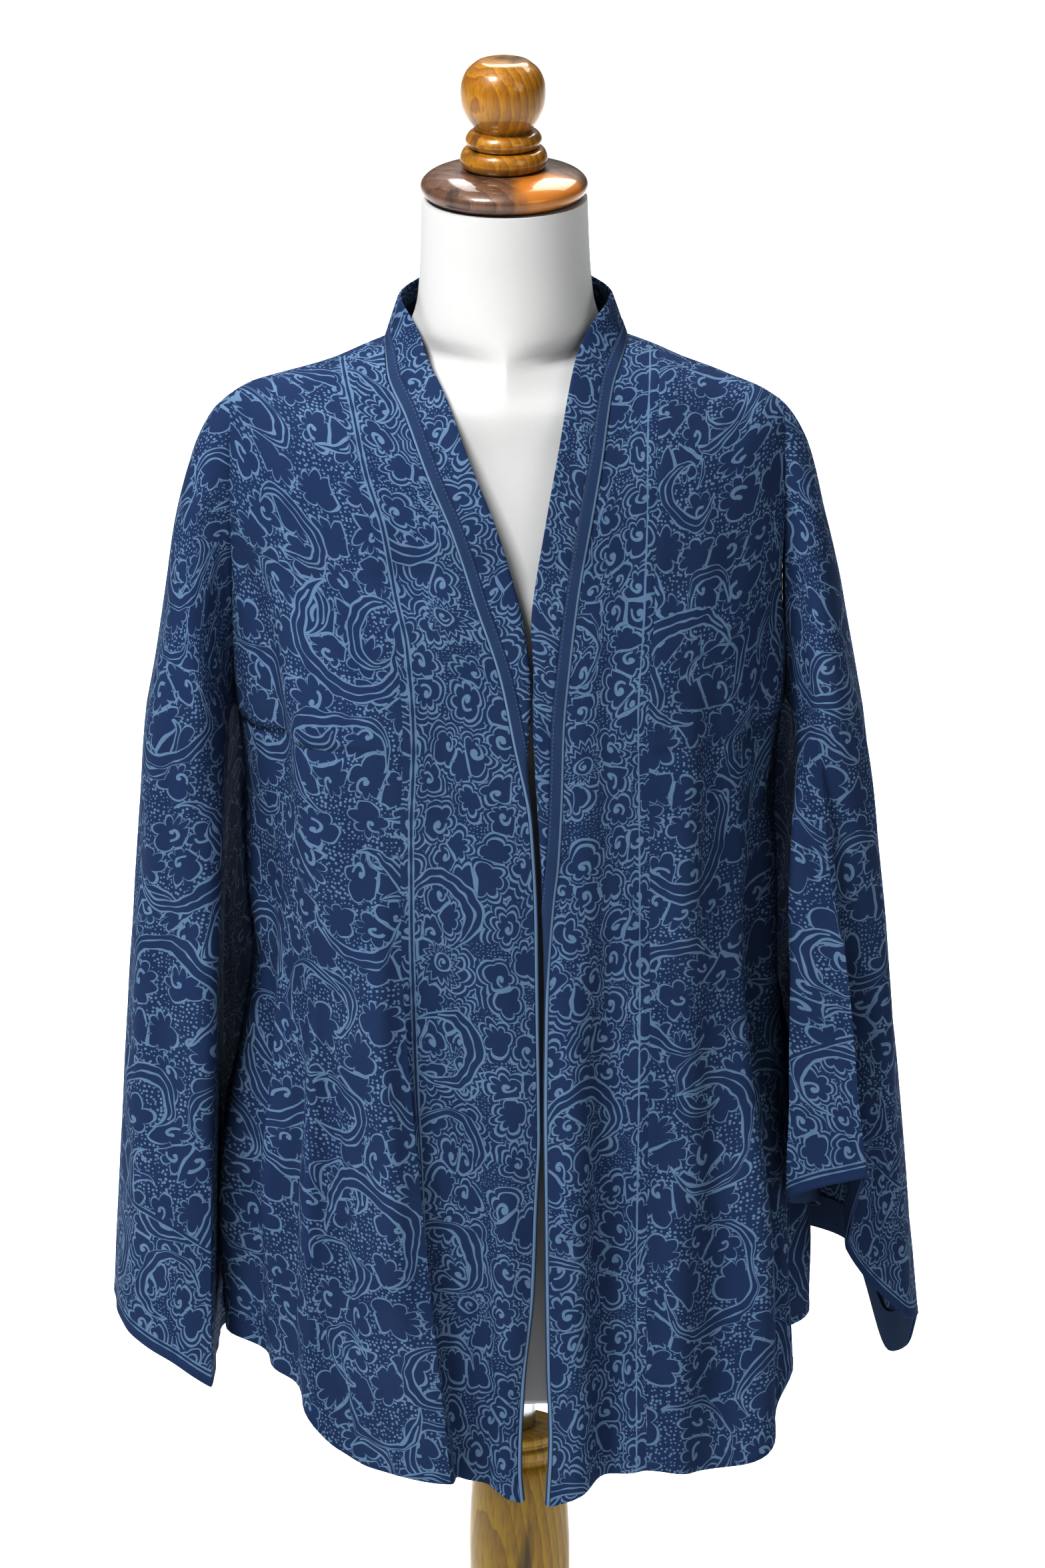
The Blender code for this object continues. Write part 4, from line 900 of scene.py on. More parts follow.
@dataclass
class Band:
    """The plain trim and the printed collar band, which run on from hem to hem round the neck.

    Along it goes from the right hem (-1) over the neck to the left hem (1), and the reach is
    the distance from the seam. The rolls give how far it shows before it turns under.
    """

    fronts: dict[int, Front]
    rolls: dict[int, Line]
    inward: Line
    forward: Line
    up: Line
    neck_lean: Line
    neck_share: float = 0.14
    roll_radius: float = 0.0021
    roll_angle: float = math.radians(162)
    seat: float = 0.0009
    trim_width: float = 0.0098
    end: float = 0.0320
    step: float = 0.0035
    upright_above: float = 0.20
    level_below: float = 0.28

    def on_front(self, side: int, fall: Array, reach: Array) -> Array:
        """Gives the band's places where it runs down a front.

        Args:
            side: -1 for the right front, 1 for the left one.
            fall: Places down the front.
            reach: Distances from the seam.

        Returns:
            The world places. The band leans by its own lines at the neck and goes on in the
            front's own direction below the chest.
        """
        front = self.fronts[side]
        base = front.point(0 * fall, fall)
        inward = unit(front.point(-0.02 + 0 * fall, fall) - base)
        below = front.point(0 * fall, np.minimum(fall + 0.004, 1.0))
        above = front.point(0 * fall, np.maximum(fall - 0.004, 0.0))
        outward = unit(side * np.cross(inward, below - above))
        drop = CAP_HEIGHT - base[..., 2]
        lean = (-side * self.inward.at(drop), -self.forward.at(drop), self.up.at(drop))
        lean = unit(np.stack(lean, axis=-1))
        flush = np.interp(drop, (self.upright_above, self.level_below), (0, 1))[..., None]
        lean = unit(lean * (1 - flush) + inward * flush)
        back = -unit(outward - lean * (outward * lean).sum(-1, keepdims=True))
        seat = self.seat * (1 - (lean * inward).sum(-1))
        shows = self.rolls[side].at(drop)
        under = np.maximum(reach + seat - shows, 0)
        return self.path(base, lean, back, shows, reach + seat) + front.moved(under, fall)

    def round_neck(self, side: int, angle: Array, reach: Array) -> Array:
        """Gives the standing band's places behind the neck, by the angle from the neck's side."""
        x = side * FIGURE.neck_out * np.cos(angle)
        y = FIGURE.neck_back * np.sin(angle)
        drop = FIGURE.neck_side_drop + (FIGURE.neck_back_drop - FIGURE.neck_side_drop) * np.sin(angle)
        facing = (side * np.cos(angle) / FIGURE.neck_out, np.sin(angle) / FIGURE.neck_back, 0 * angle)
        facing = unit(np.stack(facing, axis=-1))
        lean_in = self.neck_lean.at(np.degrees(angle))[..., None]
        lean = unit(np.array([0.0, 0.0, 1.0]) - facing * lean_in)
        back = -unit(facing - lean * (facing * lean).sum(-1, keepdims=True))
        shows = np.full(angle.shape, self.end)
        return self.path(place_at(x, y, drop), lean, back, shows, reach + self.seat)

    def path(self, base: Array, lean: Array, back: Array, shows: Array, reach: Array) -> Array:
        """Gives places at their reach from the seam: flat as far as the band shows, then rolled under.

        Args:
            base: Places on the seam.
            lean: The band's direction there, away from the seam.
            back: The direction towards its hidden side.
            shows: How far it shows there, in metres.
            reach: Distances from the seam along the cloth.

        Returns:
            The world places.
        """
        past = np.maximum(reach - shows, 0)
        turned = np.minimum(past / self.roll_radius, self.roll_angle)
        rest = past - turned * self.roll_radius
        ahead = np.minimum(reach, shows) + self.roll_radius * np.sin(turned) + rest * math.cos(self.roll_angle)
        behind = self.roll_radius * (1 - np.cos(turned)) + rest * math.sin(self.roll_angle)
        return base + lean * ahead[..., None] + back * behind[..., None]

    def point(self, along: Places, reach: Places) -> Array:
        """Gives the world places of the band at its own places along and across it."""
        along, reach = matched(along, reach)
        places = np.zeros(along.shape + (3,))
        far = np.abs(along)
        fall = np.clip((far - self.neck_share) / (1 - self.neck_share), 0, 1)
        angle = np.clip((self.neck_share - far) / self.neck_share, 0, 1) * math.pi / 2
        for side in (-1, 1):
            here = along >= 0 if side > 0 else along < 0
            chosen = np.where(
                (far >= self.neck_share)[..., None],
                self.on_front(side, fall, reach),
                self.round_neck(side, angle, reach),
            )
            places = np.where(here[..., None], chosen, places)
        return places

    def strip(self, name: str, start: float, end: float, thick: float, puff: float) -> Cloth:
        """Lays out one strip of the band, softly padded by its folded layers.

        Args:
            name: The strip's name.
            start: The reach where it begins.
            end: The reach where it ends.
            thick: Its thickness.
            puff: How far its middle swells out.

        Returns:
            The strip's cloth, with its rows closest at both edges.
        """
        along = even_places(lambda v: self.point(v, 0.5 * (start + end)), -1, 1, self.step)
        share = np.linspace(0, 1, max(9, round((end - start) / 0.0016)))
        reach = start + (end - start) * (share - 0.06 * np.sin(FULL_TURN * share))
        places = self.point(*np.meshgrid(along, reach, indexing="ij"))
        cloth = Cloth(name, places, thick=thick, level_row=len(along) // 2)
        swell = 1 - np.abs(2 * share - 1) ** 5
        cloth.press(0.6 * rumple(cloth.flat[..., ::-1], 41, 0.0003) + puff * swell[None, :])
        return cloth

    def build(self, prints: "Prints") -> list[Piece]:
        """Makes the trim and the collar band and dresses them.

        Args:
            prints: The jacket's finishes.

        Returns:
            The trim and the collar band.
        """
        made = []
        rows = (
            ("collar_trim", (SEAM_GAP, self.trim_width), (TRIM_CLOTH, 0.0002),
             "plain_cotton", prints.trim, (0.0115, 2.0)),
            ("collar", (self.trim_width + SEAM_GAP, self.end), (BAND_CLOTH, 0.0003),
             "printed_cotton", prints.collar, (0.0265, 2.0)),
        )
        for name, reaches, (thick, puff), slot, finish, cut in rows:
            cloth = self.strip(f"{name}_cloth", *reaches, thick, puff)
            share = np.linspace(0, 1, cloth.places.shape[1])
            rounded = thick * np.clip(1 - np.abs(2 * share - 1) ** 7, 0.12, 1) ** 0.5 + 0 * cloth.down
            piece = cloth.sew((cloth.down, cloth.across), rounded)
            hand_in(piece, [finish], name)
            made.append(piece)
        return made


@dataclass
class Topstitching:
    """Short thread stitches along the trim, laid on the band's own places."""

    band: Band
    reach: float = 0.0084
    pitch: float = 0.0030
    length: float = 0.0019
    thread: float = 0.00028
    above: float = TRIM_CLOTH / 2 + 0.0002

    def build(self, finish: Material) -> list[Piece]:
        """Makes one stitch and copies it along the trim.

        Args:
            finish: The thread.

        Returns:
            The stitches, as one piece.
        """
        point, reach = self.band.point, self.reach
        along = even_places(lambda v: point(v, reach), -0.998, 0.998, self.pitch)
        here = point(along, reach)
        ahead = unit(point(along + 0.0008, reach) - point(along - 0.0008, reach))
        side = unit(point(along, reach + 0.0004) - point(along, reach - 0.0004))
        out = unit(np.cross(ahead, side))
        from_axis = here * np.array([1.0, 1.0, 0.0])
        out = out * np.sign((out * from_axis).sum(-1, keepdims=True))
        here = here + out * self.above
        start_fresh()
        bpy.ops.mesh.primitive_uv_sphere_add(segments=6, ring_count=4, radius=1)
        stitch = bpy.context.object
        shape = np.array([v.co[:] for v in stitch.data.vertices])
        faces = [list(p.vertices) for p in stitch.data.polygons]
        bpy.data.objects.remove(stitch)
        sized = shape * np.array([self.length / 2, self.thread, self.thread * 0.8])
        places = here[:, None]
        for k, way in enumerate((ahead, side, out)):
            places = places + sized[None, :, k:k + 1] * way[:, None]
        count = len(shape)
        everything = [[v + k * count for v in face] for k in range(len(here)) for face in faces]
        mesh = bpy.data.meshes.new("trim_topstitching")
        mesh.from_pydata(places.reshape(-1, 3).tolist(), [], everything)
        mesh.shade_smooth()
        piece = stand(mesh)
        point_outwards(piece)
        return [hand_in(piece, [finish])]


# The dress form and its stand


@dataclass
class Torso:
    """The limbless torso: a smooth padded form under white jersey, in rings from its neck down.

    At each drop it has half its width, its depths in front and behind, and how square it is: an
    ellipse at 2, and more pointed at its sides below that.
    """

    drops: tuple[float, ...]
    wide: tuple[float, ...]
    front: tuple[float, ...]
    back: tuple[float, ...]
    square: tuple[float, ...]
    rings: int = 150
    columns: int = 128

    def build(self, jersey: Material) -> list[Piece]:
        """Makes the torso and covers it.

        Args:
            jersey: Its cover.

        Returns:
            The torso, alone in its list.
        """
        drop = np.linspace(self.drops[0], self.drops[-1], self.rings)
        drop = np.unique(np.concatenate([drop, self.drops[-3:]]))
        angle = np.linspace(0, FULL_TURN, self.columns, endpoint=False)
        tables = (self.wide, self.front, self.back, self.square)
        wide, front, back, square = (Line(self.drops, values).at(drop)[:, None] for values in tables)
        cos, sin = np.cos(angle)[None], np.sin(angle)[None]
        x = wide * np.sign(cos) * np.abs(cos) ** (2 / square)
        y = np.sign(sin) * np.abs(sin) ** (2 / square)
        y = np.where(y < 0, y * front, y * back)
        places = place_at(x, y, drop[:, None])
        work = bmesh.new()
        rings = [[work.verts.new(p) for p in ring] for ring in places]
        for upper, lower in zip(rings, rings[1:]):
            for i in range(self.columns):
                j = (i + 1) % self.columns
                work.faces.new((upper[i], lower[i], lower[j], upper[j]))
        work.faces.new(rings[0])
        work.faces.new(rings[-1][::-1])
        bmesh.ops.recalc_face_normals(work, faces=work.faces[:])
        mesh = bpy.data.meshes.new("torso_jersey")
        work.to_mesh(mesh)
        work.free()
        mesh.shade_smooth()
        mesh.set_sharp_from_angle(angle=math.radians(50))
        return [hand_in(stand(mesh), [jersey], "torso")]


def start_fresh() -> None:
    """Leaves edit mode and deselects everything, before a new primitive is added."""
    if bpy.context.object and bpy.context.object.mode != "OBJECT":
        bpy.ops.object.mode_set(mode="OBJECT")
    bpy.ops.object.select_all(action="DESELECT")


@dataclass
class Turning:
    """A piece of wood turned on a lathe.

    Each row of its profile is a radius, a height from the neck cap's middle, and whether the
    tool left a corner there. Between corners the profile is fair.
    """

    name: str
    node: str
    profile: tuple[tuple[float, float, bool], ...]
    segments: int = 112
    between: int = 5

    def fair_profile(self) -> Array:
        """Gives the profile with smooth lines between its corners, as rows of radius and height."""
        rows = [(0.0, self.profile[0][1], True), *self.profile, (0.0, self.profile[-1][1], True)]
        corners = [k for k, row in enumerate(rows) if row[2]]
        line = [np.array(rows[0][:2])]
        for first, last in zip(corners, corners[1:]):
            part = np.array([row[:2] for row in rows[first:last + 1]], float)
            if len(part) == 2:
                line.append(part[1])
                continue
            ends = np.vstack([2 * part[0] - part[1], part, 2 * part[-1] - part[-2]])
            for a, b, c, d in zip(ends, ends[1:], ends[2:], ends[3:]):
                for t in np.linspace(0, 1, self.between + 1)[1:]:
                    line.append(0.5 * (2 * b + (c - a) * t + (2 * a - 5 * b + 4 * c - d) * t**2
                                       + (3 * b - a - 3 * c + d) * t**3))
        return np.array(line)

    def build(self, finish: Material) -> list[Piece]:
        """Draws the profile from one vertex, spins it round the axis and varnishes it.

        Args:
            finish: The varnished wood.

        Returns:
            The turned piece, alone in its list.
        """
        profile = self.fair_profile()
        start_fresh()
        bpy.ops.mesh.primitive_plane_add(size=0.01, location=(0, 0, 0))
        piece = bpy.context.object
        piece.name = self.name
        piece.data.name = self.name
        bpy.ops.object.mode_set(mode="EDIT")
        bpy.ops.mesh.select_all(action="SELECT")
        bpy.ops.mesh.merge(type="CENTER")
        bpy.ops.transform.translate(value=(0, 0, CAP_HEIGHT + profile[0][1]))
        for move in np.diff(profile, axis=0):
            bpy.ops.mesh.extrude_vertices_move(TRANSFORM_OT_translate={"value": (move[0], 0, move[1])})
        bpy.ops.mesh.select_all(action="SELECT")
        bpy.ops.mesh.spin(steps=self.segments, angle=FULL_TURN, center=(0, 0, 0), axis=(0, 0, 1))
        bpy.ops.mesh.select_all(action="SELECT")
        bpy.ops.mesh.remove_doubles(threshold=1e-5)
        bpy.ops.mesh.normals_make_consistent(inside=False)
        bpy.ops.object.mode_set(mode="OBJECT")
        bpy.ops.object.shade_smooth_by_angle(angle=math.radians(38))
        return [hand_in(piece, [finish], self.node)]


@dataclass
class Rod:
    """The bright steel rod between the torso and the turned column."""

    radius: float = 0.0125
    top: float = 0.8548
    foot: float = 0.9117
    segments: int = 64

    def build(self, finish: Material) -> list[Piece]:
        """Makes the rod, with its edges broken.

        Args:
            finish: The steel.

        Returns:
            The rod, alone in its list.
        """
        start_fresh()
        middle = CAP_HEIGHT - (self.top + self.foot) / 2
        bpy.ops.mesh.primitive_cylinder_add(vertices=self.segments, radius=self.radius,
                                            depth=self.foot - self.top, location=(0, 0, middle))
        piece = bpy.context.object
        piece.name = "steel_rod"
        bpy.ops.object.mode_set(mode="EDIT")
        bpy.ops.mesh.select_all(action="SELECT")
        bpy.ops.mesh.bevel(offset=0.0006, segments=2)
        bpy.ops.object.mode_set(mode="OBJECT")
        bpy.ops.object.transform_apply(location=True, rotation=True, scale=True)
        bpy.ops.object.shade_smooth_by_angle(angle=math.radians(40))
        return [hand_in(piece, [finish], "rod")]


# Finishes


def linear(colour: str) -> tuple[float, float, float, float]:
    """Turns an sRGB hex colour into linear red, green, blue and alpha."""
    parts = [int(colour[k:k + 2], 16) / 255 for k in (1, 3, 5)]
    return (*[c / 12.92 if c <= 0.04045 else ((c + 0.055) / 1.055) ** 2.4 for c in parts], 1.0)


def add_node(tree: Tree, kind: str, inputs: Inputs, **settings: object) -> bpy.types.Node:
    """Adds a node with its settings, and sets or links its inputs.

    Args:
        tree: The material's nodes.
        kind: The node's type.
        inputs: Values or output sockets, by the input's name or number.
        **settings: The node's own settings.

    Returns:
        The node.
    """
    made = tree.nodes.new(kind)
    for name, value in settings.items():
        setattr(made, name, value)
    fill(tree, made, inputs)
    return made


def fill(tree: Tree, node: bpy.types.Node, inputs: Inputs) -> None:
    """Sets or links a node's inputs, by their names or numbers."""
    for key, value in inputs.items():
        if isinstance(value, Term):
            value = value.socket
        if isinstance(value, Socket):
            tree.links.new(value, node.inputs[key])
        else:
            node.inputs[key].default_value = value


def new_finish(name: str) -> tuple[Material, Tree]:
    """Makes a material, and gives it with its nodes."""
    made = bpy.data.materials.new(name)
    made.use_nodes = True
    return made, made.node_tree


def vector(tree: Tree, operation: str, *inputs: object) -> Socket:
    """Gives the result of a vector operation on sockets and vectors."""
    return add_node(tree, "ShaderNodeVectorMath", dict(enumerate(inputs)), operation=operation).outputs[0]


def noise(tree: Tree, place: Socket, size: float, detail: float,
          **settings: object) -> bpy.types.bpy_prop_collection:
    """Gives the outputs of a noise whose patches have a usual size, in the units of its place."""
    inputs = {"Vector": place, "Scale": 1 / size, "Detail": detail}
    return add_node(tree, "ShaderNodeTexNoise", inputs, **settings).outputs


def mix(tree: Tree, share: object, first: object, second: object) -> Socket:
    """Mixes two colours, each a hex colour or a socket, by the share of the second."""
    first, second = (linear(c) if isinstance(c, str) else c for c in (first, second))
    return add_node(tree, "ShaderNodeMix", {0: share, 6: first, 7: second}, data_type="RGBA").outputs[2]


def flat_places(tree: Tree) -> Socket:
    """Gives the cloth's places laid flat, in metres."""
    return add_node(tree, "ShaderNodeUVMap", {}, uv_map="flat").outputs[0]


def edge_distances(tree: Tree) -> tuple["Term", "Term"]:
    """Gives the distances from the panel's seam and from its hem, in millimetres."""
    edges = add_node(tree, "ShaderNodeUVMap", {}, uv_map="edges").outputs[0]
    parts = add_node(tree, "ShaderNodeSeparateXYZ", {0: edges}).outputs
    return Term(tree, parts[0]) * 1000.0, Term(tree, parts[1]) * 1000.0


def operator(name: str) -> Callable[..., "Term"]:
    """Gives the method of a term that carries it on in a Math node of this operation."""
    return lambda term, *others: term.math(name, *others)


class Term:
    """A number in a material's formula, which Python's operators carry on as Math nodes."""

    def __init__(self, tree: Tree, socket: Socket) -> None:
        """Holds an output socket."""
        self.tree = tree
        self.socket = socket

    def math(self, operation: str, *others: Number) -> "Term":
        """Gives the result of a Math operation on this number and others."""
        inputs = dict(enumerate((self, *others)))
        return Term(self.tree, add_node(self.tree, "ShaderNodeMath", inputs, operation=operation).outputs[0])

    __add__ = operator("ADD")
    __sub__ = operator("SUBTRACT")
    __mul__ = operator("MULTIPLY")
    __truediv__ = operator("DIVIDE")
    __abs__ = operator("ABSOLUTE")
    __lt__ = operator("LESS_THAN")
    __gt__ = operator("GREATER_THAN")
    __or__ = operator("MAXIMUM")  # joins two drawings of 1 and 0


@dataclass
class Motif:
    """One drawn motif's own ground: polar places round its middle, its cell's edge and its chances."""

    radius: Term
    angle: Term
    edge: Term
    chances: tuple[Term, Term, Term]


class WaxDrawing:
    """The wax lines of a batik print, worked out at each place of the cloth in millimetres."""

    def __init__(self, tree: Tree, shift: tuple[float, float],
                 wander: tuple[tuple[float, float], ...]) -> None:
        """Reads the cloth's flat places and gives them the wander of a hand-drawn line.

        Args:
            tree: The material's nodes.
            shift: How far the print is moved on this piece, in millimetres.
            wander: Pairs of how far apart the line turns and how far it strays, in millimetres.
        """
        self.tree = tree
        self.place = vector(tree, "MULTIPLY_ADD", flat_places(tree), (1000, 1000, 0), (*shift, 0))
        self.dotted = self.place
        for spacing, reach in wander:
            stray = noise(tree, self.place, spacing, 0.0, noise_dimensions="2D")
            self.place = vector(tree, "MULTIPLY_ADD", stray["Color"], (reach, reach, 0), self.place)
        self.swell = Term(tree, stray["Fac"]) * 1.3 + 0.35

    def dots(self, pitch: float, radius: float) -> Term:
        """Gives the small wax dots that fill the ground."""
        cells = add_node(self.tree, "ShaderNodeTexVoronoi",
                         {"Vector": self.dotted, "Scale": 1 / pitch, "Randomness": 0.7},
                         voronoi_dimensions="2D", feature="F1")
        return Term(self.tree, cells.outputs["Distance"]) < self.swell * (radius / pitch)

    def motif(self, cell: float, randomness: float, seed: float, off: float = 0.0, tall: float = 1.0) -> Motif:
        """Lays out motifs a cell apart, each turned its own way.

        Args:
            cell: Their usual spacing in millimetres.
            randomness: How uneven the spacing is.
            seed: Moves this layout against the others.
            off: How far a motif's middle may lie from its cell's, in millimetres.
            tall: How many times taller than wide they are.

        Returns:
            The ground of the motif at each place.
        """
        tree = self.tree
        place = vector(tree, "MULTIPLY_ADD", self.place, (1 / cell, 1 / cell / tall, 0), (seed, seed * 0.7, 0))
        inputs = {"Vector": place, "Scale": 1.0, "Randomness": randomness}
        near, edge = (
            add_node(tree, "ShaderNodeTexVoronoi", inputs, voronoi_dimensions="2D", feature=feature).outputs
            for feature in ("F1", "DISTANCE_TO_EDGE")
        )
        local = vector(tree, "SUBTRACT", place, near["Position"])
        if off:
            share = off / cell
            local = vector(tree, "MULTIPLY_ADD", near["Color"], (share, share, 0), local)
            local = vector(tree, "SUBTRACT", local, (share / 2, share / 2, 0))
        u, v, _ = (Term(tree, s) for s in add_node(tree, "ShaderNodeSeparateXYZ", {0: local}).outputs)
        colours = add_node(tree, "ShaderNodeSeparateColor", {0: near["Color"]}).outputs
        chances = tuple(Term(tree, s) for s in colours)
        radius = (u * u + v * v).math("SQRT") * cell
        angle = v.math("ARCTAN2", u) + chances[0] * FULL_TURN
        return Motif(radius, angle, Term(tree, edge["Distance"]) * cell, chances)

    def lobed(self, motif: Motif, radius: Number, lobes: int, deep: float, lean: float) -> Term:
        """Gives how far a place lies outside a leaf or cloud with round lobes and sharp notches.

        Args:
            motif: The motif's ground.
            radius: The leaf's radius in millimetres.
            lobes: How many lobes it has.
            deep: How deep the notches between them are, as a share of the radius.
            lean: How much longer it is on one side.

        Returns:
            The distance outside its outline, below 0 inside, in millimetres.
        """
        uneven = motif.angle + (motif.angle + motif.chances[2] * 6.0).math("SINE") * 0.45
        main = abs((uneven * (lobes / 2)).math("COSINE")).math("POWER", 0.7) * deep
        long = (motif.angle + motif.chances[1] * 5.0).math("COSINE") * lean + (1 - deep)
        return (motif.radius - (main + long) * radius) | (motif.edge * -1 + 0.4)

    def along(self, distance: Term, half: float, at: float = 0.0) -> Term:
        """Gives a wax line of a usual half width, at a distance from an outline, in millimetres."""
        return abs(distance - at) < self.swell * half

    def hook(self, motif: Motif, radius: float, turns: float, half: float) -> Term:
        """Gives a hook that curls in from a motif's outline and ends in a knob.

        Args:
            motif: The motif's ground.
            radius: The motif's radius in millimetres.
            turns: How much of a turn the hook takes, at most 1.
            half: Half its width in millimetres.

        Returns:
            1 on the hook.
        """
        turn = (motif.angle / FULL_TURN).math("FRACT")
        way = radius * 0.85 / turns
        line = abs(motif.radius - turn * way - radius * 0.1) < (turn * -1.2 + 1.9) * half
        end = (motif.radius * motif.radius) < (2.2 * half) ** 2
        return line * (turn < turns) | end


class Motifs(Enum):
    """The two drawings of the print."""

    LEAVES = "lobed leaves and curled scrolls on a dotted ground"
    CLOUDS = "small clouds, serrated rosettes and waves on a dotted ground"


def over(below: Term, inside: Term, drawn: Term) -> Term:
    """Lays a drawn shape over a drawing: inside it the drawing below is left out."""
    return below * (inside * -1 + 1) | drawn


def draw_sweeps(wax: WaxDrawing, below: Term, arc: Motif, radius: float, rare: float) -> Term:
    """Draws long tapering sweeps of parallel lines over a drawing.

    Args:
        wax: The drawing on this piece.
        below: What is drawn below them.
        arc: The sweeps' ground, one to each of its cells.
        radius: How wide they curve, in millimetres.
        rare: The share of the cells that have none.

    Returns:
        The whole drawing so far.
    """
    bend = (arc.angle + arc.chances[1] * 5.0).math("COSINE")
    ring = arc.radius - bend * (0.24 * radius) - 0.72 * radius
    room = (arc.edge * 0.16).math("MINIMUM", 1.0)
    width = (bend + 0.42) * room * (6.2 + 0.08 * radius)
    shown = (ring > -0.8) * (ring < width + 0.8) * (width > 0.5) * (arc.chances[0] > rare)
    lines = wax.along(ring, 0.8) | wax.along(ring - width, 0.74)
    inner = wax.along(ring - width * 0.52, 0.6) * (width > 5.2)
    return over(below, shown, (lines | inner) * shown)


def draw_leaves(wax: WaxDrawing) -> Term:
    """Draws the large print: lobed leaves and long curved sweeps on a dotted ground.

    Args:
        wax: The drawing on this piece.

    Returns:
        1 on the wax, 0 on the dyed ground.
    """
    dots = wax.dots(3.3, 0.78)
    leaf = wax.motif(31.0, 0.8, 0.0, 4.0)
    outline = wax.lobed(leaf, 15.4, 7, 0.40, 0.20)
    hook = wax.hook(leaf, 8.0, 0.5, 0.8) * (leaf.chances[2] > 0.4) * (outline < -1.0)
    drawn = dots * (outline > 1.2) | wax.along(outline, 0.8) | hook
    drawn = draw_sweeps(wax, drawn, wax.motif(66.0, 0.8, 8.1, 12.0), 25.0, 0.4)
    return draw_sweeps(wax, drawn, wax.motif(112.0, 0.6, 3.3, 18.0), 46.0, 0.08)


def draw_clouds(wax: WaxDrawing) -> Term:
    """Draws the small dense print: tall clouds with curls and contour lines, and serrated rosettes.

    Args:
        wax: The drawing on this piece.

    Returns:
        1 on the wax, 0 on the dyed ground.
    """
    dots = wax.dots(2.5, 0.5)
    cloud = wax.motif(22.0, 0.85, 5.3, 2.0, 1.25)
    puff = wax.lobed(cloud, 9.8, 6, 0.32, 0.20)
    zone = wax.motif(52.0, 0.7, 1.7)
    halo = puff - 3.4
    drawn = dots * (halo > 0.9) | wax.along(halo, 0.64)
    waves = wax.along(halo, 0.6, 3.6) | wax.along(halo, 0.6, 7.2)
    waved = zone.chances[1] > 0.55
    drawn = over(drawn, (halo > 0.6) * waved, waves * waved)
    curl = wax.hook(cloud, 5.2, 0.8, 0.7) * (puff < -1.2) * (cloud.chances[1] > 0.35)
    drawn = over(drawn, puff < 0, wax.along(puff, 0.7) | curl)
    rosette = wax.motif(84.0, 0.5, 9.1)
    picked = rosette.chances[1] > 0.45
    teeth = (rosette.angle * (17 / FULL_TURN)).math("PINGPONG", 0.5) * 8.0
    ring = rosette.radius - teeth - 13.0 - (rosette.angle + 1.0).math("COSINE") * 3.0
    saw = wax.along(ring, 0.78) | wax.along(ring, 0.68, -4.4)
    heart = rosette.radius < 7.4
    middle = wax.along(rosette.radius, 0.72, 6.8) | wax.hook(rosette, 4.6, 0.9, 0.66)
    drawn = over(drawn, (ring < 0) * picked, over(saw, heart, middle) * picked)
    return draw_sweeps(wax, drawn, wax.motif(88.0, 0.7, 6.4, 12.0), 30.0, 0.55)


DRAWINGS = {Motifs.LEAVES: draw_leaves, Motifs.CLOUDS: draw_clouds}
WANDERS = {Motifs.LEAVES: ((44, 15.0), (10.0, 2.6)), Motifs.CLOUDS: ((34, 10.0), (9.5, 2.3))}  # millimetres


def cotton_surface(tree: Tree, colour: object, place: object, grain: float) -> None:
    """Dresses the shader as thin plain-woven cotton lawn, dull and slightly slubby.

    The real weave has some 30 threads to the centimetre. Its relief is drawn coarser, as slubs
    that the picture can show.

    Args:
        tree: The material's nodes.
        colour: The output socket of its colour.
        place: The output socket of the cloth's flat places in millimetres.
        grain: Spacing in millimetres of the slubs.
    """
    slub = noise(tree, place, grain, 2.0, noise_dimensions="2D")
    relief = add_node(tree, "ShaderNodeBump", {"Height": slub["Fac"], "Strength": 0.25, "Distance": 0.0003})
    fill(tree, tree.nodes["Principled BSDF"], {
        "Normal": relief.outputs[0], "Base Color": colour, "Roughness": 0.78, "Specular IOR Level": 0.08,
        "Sheen Weight": 0.02, "Sheen Roughness": 0.45, "Sheen Tint": linear("#9fb4d6"),
    })


@dataclass(frozen=True)
class BatikCotton:
    """Hand-waxed and vat-dyed cotton lawn: dull navy with softly worn lighter lines, never glossy.

    The edge and hem lines are distances in millimetres from the panel's seam and its hem, and the
    cloth is plain between the two lines of a pair.
    """

    name: str
    motifs: Motifs
    shift: tuple[float, float] = (0.0, 0.0)
    edge_lines: tuple[float, ...] = ()
    hem_lines: tuple[float, ...] = ()
    ground: str = "#2e405e"
    deep: str = "#253655"
    wax: str = "#6a8096"
    worn: str = "#5b7289"
    dye_patch: float = 55.0
    line_half: float = 0.62
    slub: float = 0.9

    def make(self) -> Material:
        """Makes the material.

        Returns:
            The material.
        """
        made, tree = new_finish(self.name)
        wax = WaxDrawing(tree, self.shift, WANDERS[self.motifs])
        drawn = DRAWINGS[self.motifs](wax)
        for distance, lines in zip(edge_distances(tree), (self.edge_lines, self.hem_lines)):
            for first, last in zip(lines[::2], lines[1::2]):
                drawn = over(drawn, (distance > first) * (distance < last), distance * 0.0)
            for at in lines:
                drawn = drawn | wax.along(distance, self.line_half, at)
        dye = noise(tree, wax.place, self.dye_patch, 3.0, noise_dimensions="2D")["Fac"]
        colour = mix(tree, drawn, mix(tree, dye, self.deep, self.ground), mix(tree, dye, self.worn, self.wax))
        cotton_surface(tree, colour, wax.place, self.slub)
        return made


